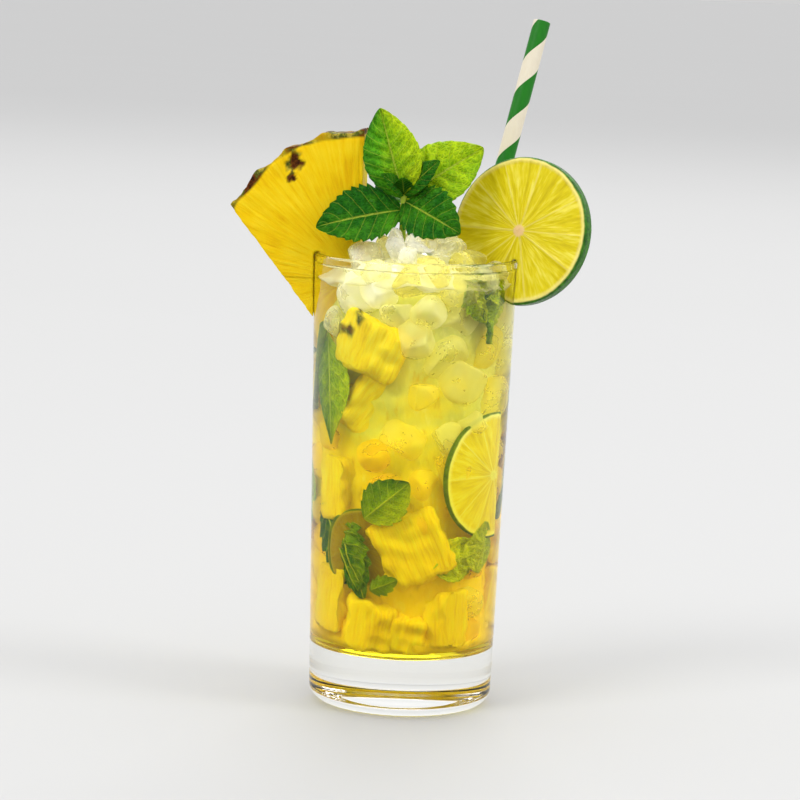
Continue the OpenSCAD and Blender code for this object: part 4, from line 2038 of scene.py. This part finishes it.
@dataclass
class Studio:
    """A plain pale floor under soft light, and the camera."""

    floor_radius: float = 60.0
    floor_gap: float = 0.0001
    horizon: Colour = (0.80, 0.80, 0.79)
    skyline: Colour = (0.64, 0.64, 0.635)
    overhead: Colour = (1.25, 1.25, 1.27)
    horizon_at: float = 0.06
    overhead_at: float = 0.75
    distance: float = 1.05
    eye_height: float = 0.2506
    lens: float = 137.97
    pitch: float = 7.87
    yaw: float = -0.2
    roll: float = 2.2
    lights: list[Softbox] = field(default_factory=lambda: [
        Softbox("key_light", (-1.6, -1.4, 2.2), 1.0, 1.0, 30.0),
        Softbox("fill_light", (2.0, -0.6, 1.6), 0.8, 1.4, 20.0),
        Softbox("back_light", (0.3, 2.6, 2.4), 2.0, 1.2, 24.0),
    ])

    def floor(self) -> bpy.types.Object:
        """Lay the floor."""
        bm = bmesh.new()
        bmesh.ops.create_circle(bm, cap_ends=True, segments=96, radius=self.floor_radius)
        bmesh.ops.translate(bm, verts=bm.verts, vec=(0.0, 0.0, -self.floor_gap))
        mesh = as_mesh(bm, "studio_floor")
        mesh.materials.append(PaleFloor().material())
        floor = bpy.data.objects.new("studio_floor", mesh)
        bpy.context.scene.collection.objects.link(floor)
        return floor

    def surroundings(self) -> None:
        """Light the scene evenly from all round."""
        world = bpy.data.worlds.new("studio")
        world.use_nodes = True
        tree = world.node_tree
        direction = tree.nodes.new("ShaderNodeTexCoord")
        split = tree.nodes.new("ShaderNodeSeparateXYZ")
        dome = tree.nodes.new("ShaderNodeValToRGB")
        tree.links.new(direction.outputs["Generated"], split.inputs[0])
        tree.links.new(split.outputs[2], dome.inputs[0])
        stops = dome.color_ramp.elements
        stops[0].position, stops[0].color = 0.0, (*self.skyline, 1.0)
        stops[1].position, stops[1].color = self.overhead_at, (*self.overhead, 1.0)
        stops.new(self.horizon_at).color = (*self.horizon, 1.0)
        tree.links.new(dome.outputs[0], tree.nodes["Background"].inputs["Color"])
        bpy.context.scene.world = world
        bpy.context.scene.view_settings.view_transform = "Standard"
        paths = bpy.context.scene.cycles
        paths.max_bounces, paths.transmission_bounces, paths.glossy_bounces = 32, 28, 8
        paths.diffuse_bounces = 5

    def camera(self) -> bpy.types.Object:
        """Set up the camera."""
        pitch, yaw, roll = (math.radians(a) for a in (self.pitch, self.yaw, self.roll))
        forward = Vector((math.sin(yaw) * math.cos(pitch), math.cos(yaw) * math.cos(pitch), -math.sin(pitch)))
        right = Vector((math.cos(yaw), -math.sin(yaw), 0.0))
        up = right.cross(forward)
        x_axis = math.cos(roll) * right + math.sin(roll) * up
        y_axis = -math.sin(roll) * right + math.cos(roll) * up
        data = bpy.data.cameras.new("camera")
        data.lens, data.sensor_width = self.lens, 36.0
        data.clip_start, data.clip_end = 0.05, 500.0
        camera = bpy.data.objects.new("camera", data)
        turned_to = Matrix((x_axis, y_axis, -forward)).transposed().to_4x4()
        camera.matrix_world = Matrix.Translation((0.0, -self.distance, self.eye_height)) @ turned_to
        bpy.context.scene.collection.objects.link(camera)
        bpy.context.scene.camera = camera
        return camera

    def build(self) -> None:
        """Set up the whole studio."""
        self.floor()
        self.surroundings()
        for light in self.lights:
            light.build()
        self.camera()


def main() -> None:
    """Build the glass and all that is in and on it, then the studio."""
    logging.basicConfig(level=logging.INFO, format="%(name)s: %(message)s")
    noise.seed_set(NOISE_SEED)
    glass = TallGlass()
    drink = Drink(glass)
    glass.build()
    drink.build()
    sunk_room, heap_room = Room(), Room()
    on_rim = [
        Straw(glass).build(), PineappleWedge().build(glass), LimeWheel().build(glass), MintSprig().build()]
    sunk = [
        SunkPineapple().build(glass, drink.level), SunkLime().build(glass, drink.level),
        SunkMint(glass).build()]
    for piece in on_rim:
        heap_room.take(piece)
    for piece in on_rim + sunk:
        sunk_room.take(piece)
    Pulp(glass).build()
    heap = IceHeap(glass, drink.level)
    heap.core()
    sunk_room.take(heap.build(heap_room))
    SunkIce(glass, drink.level).build(sunk_room)
    Studio().build()


if __name__ == "__main__":
    main()
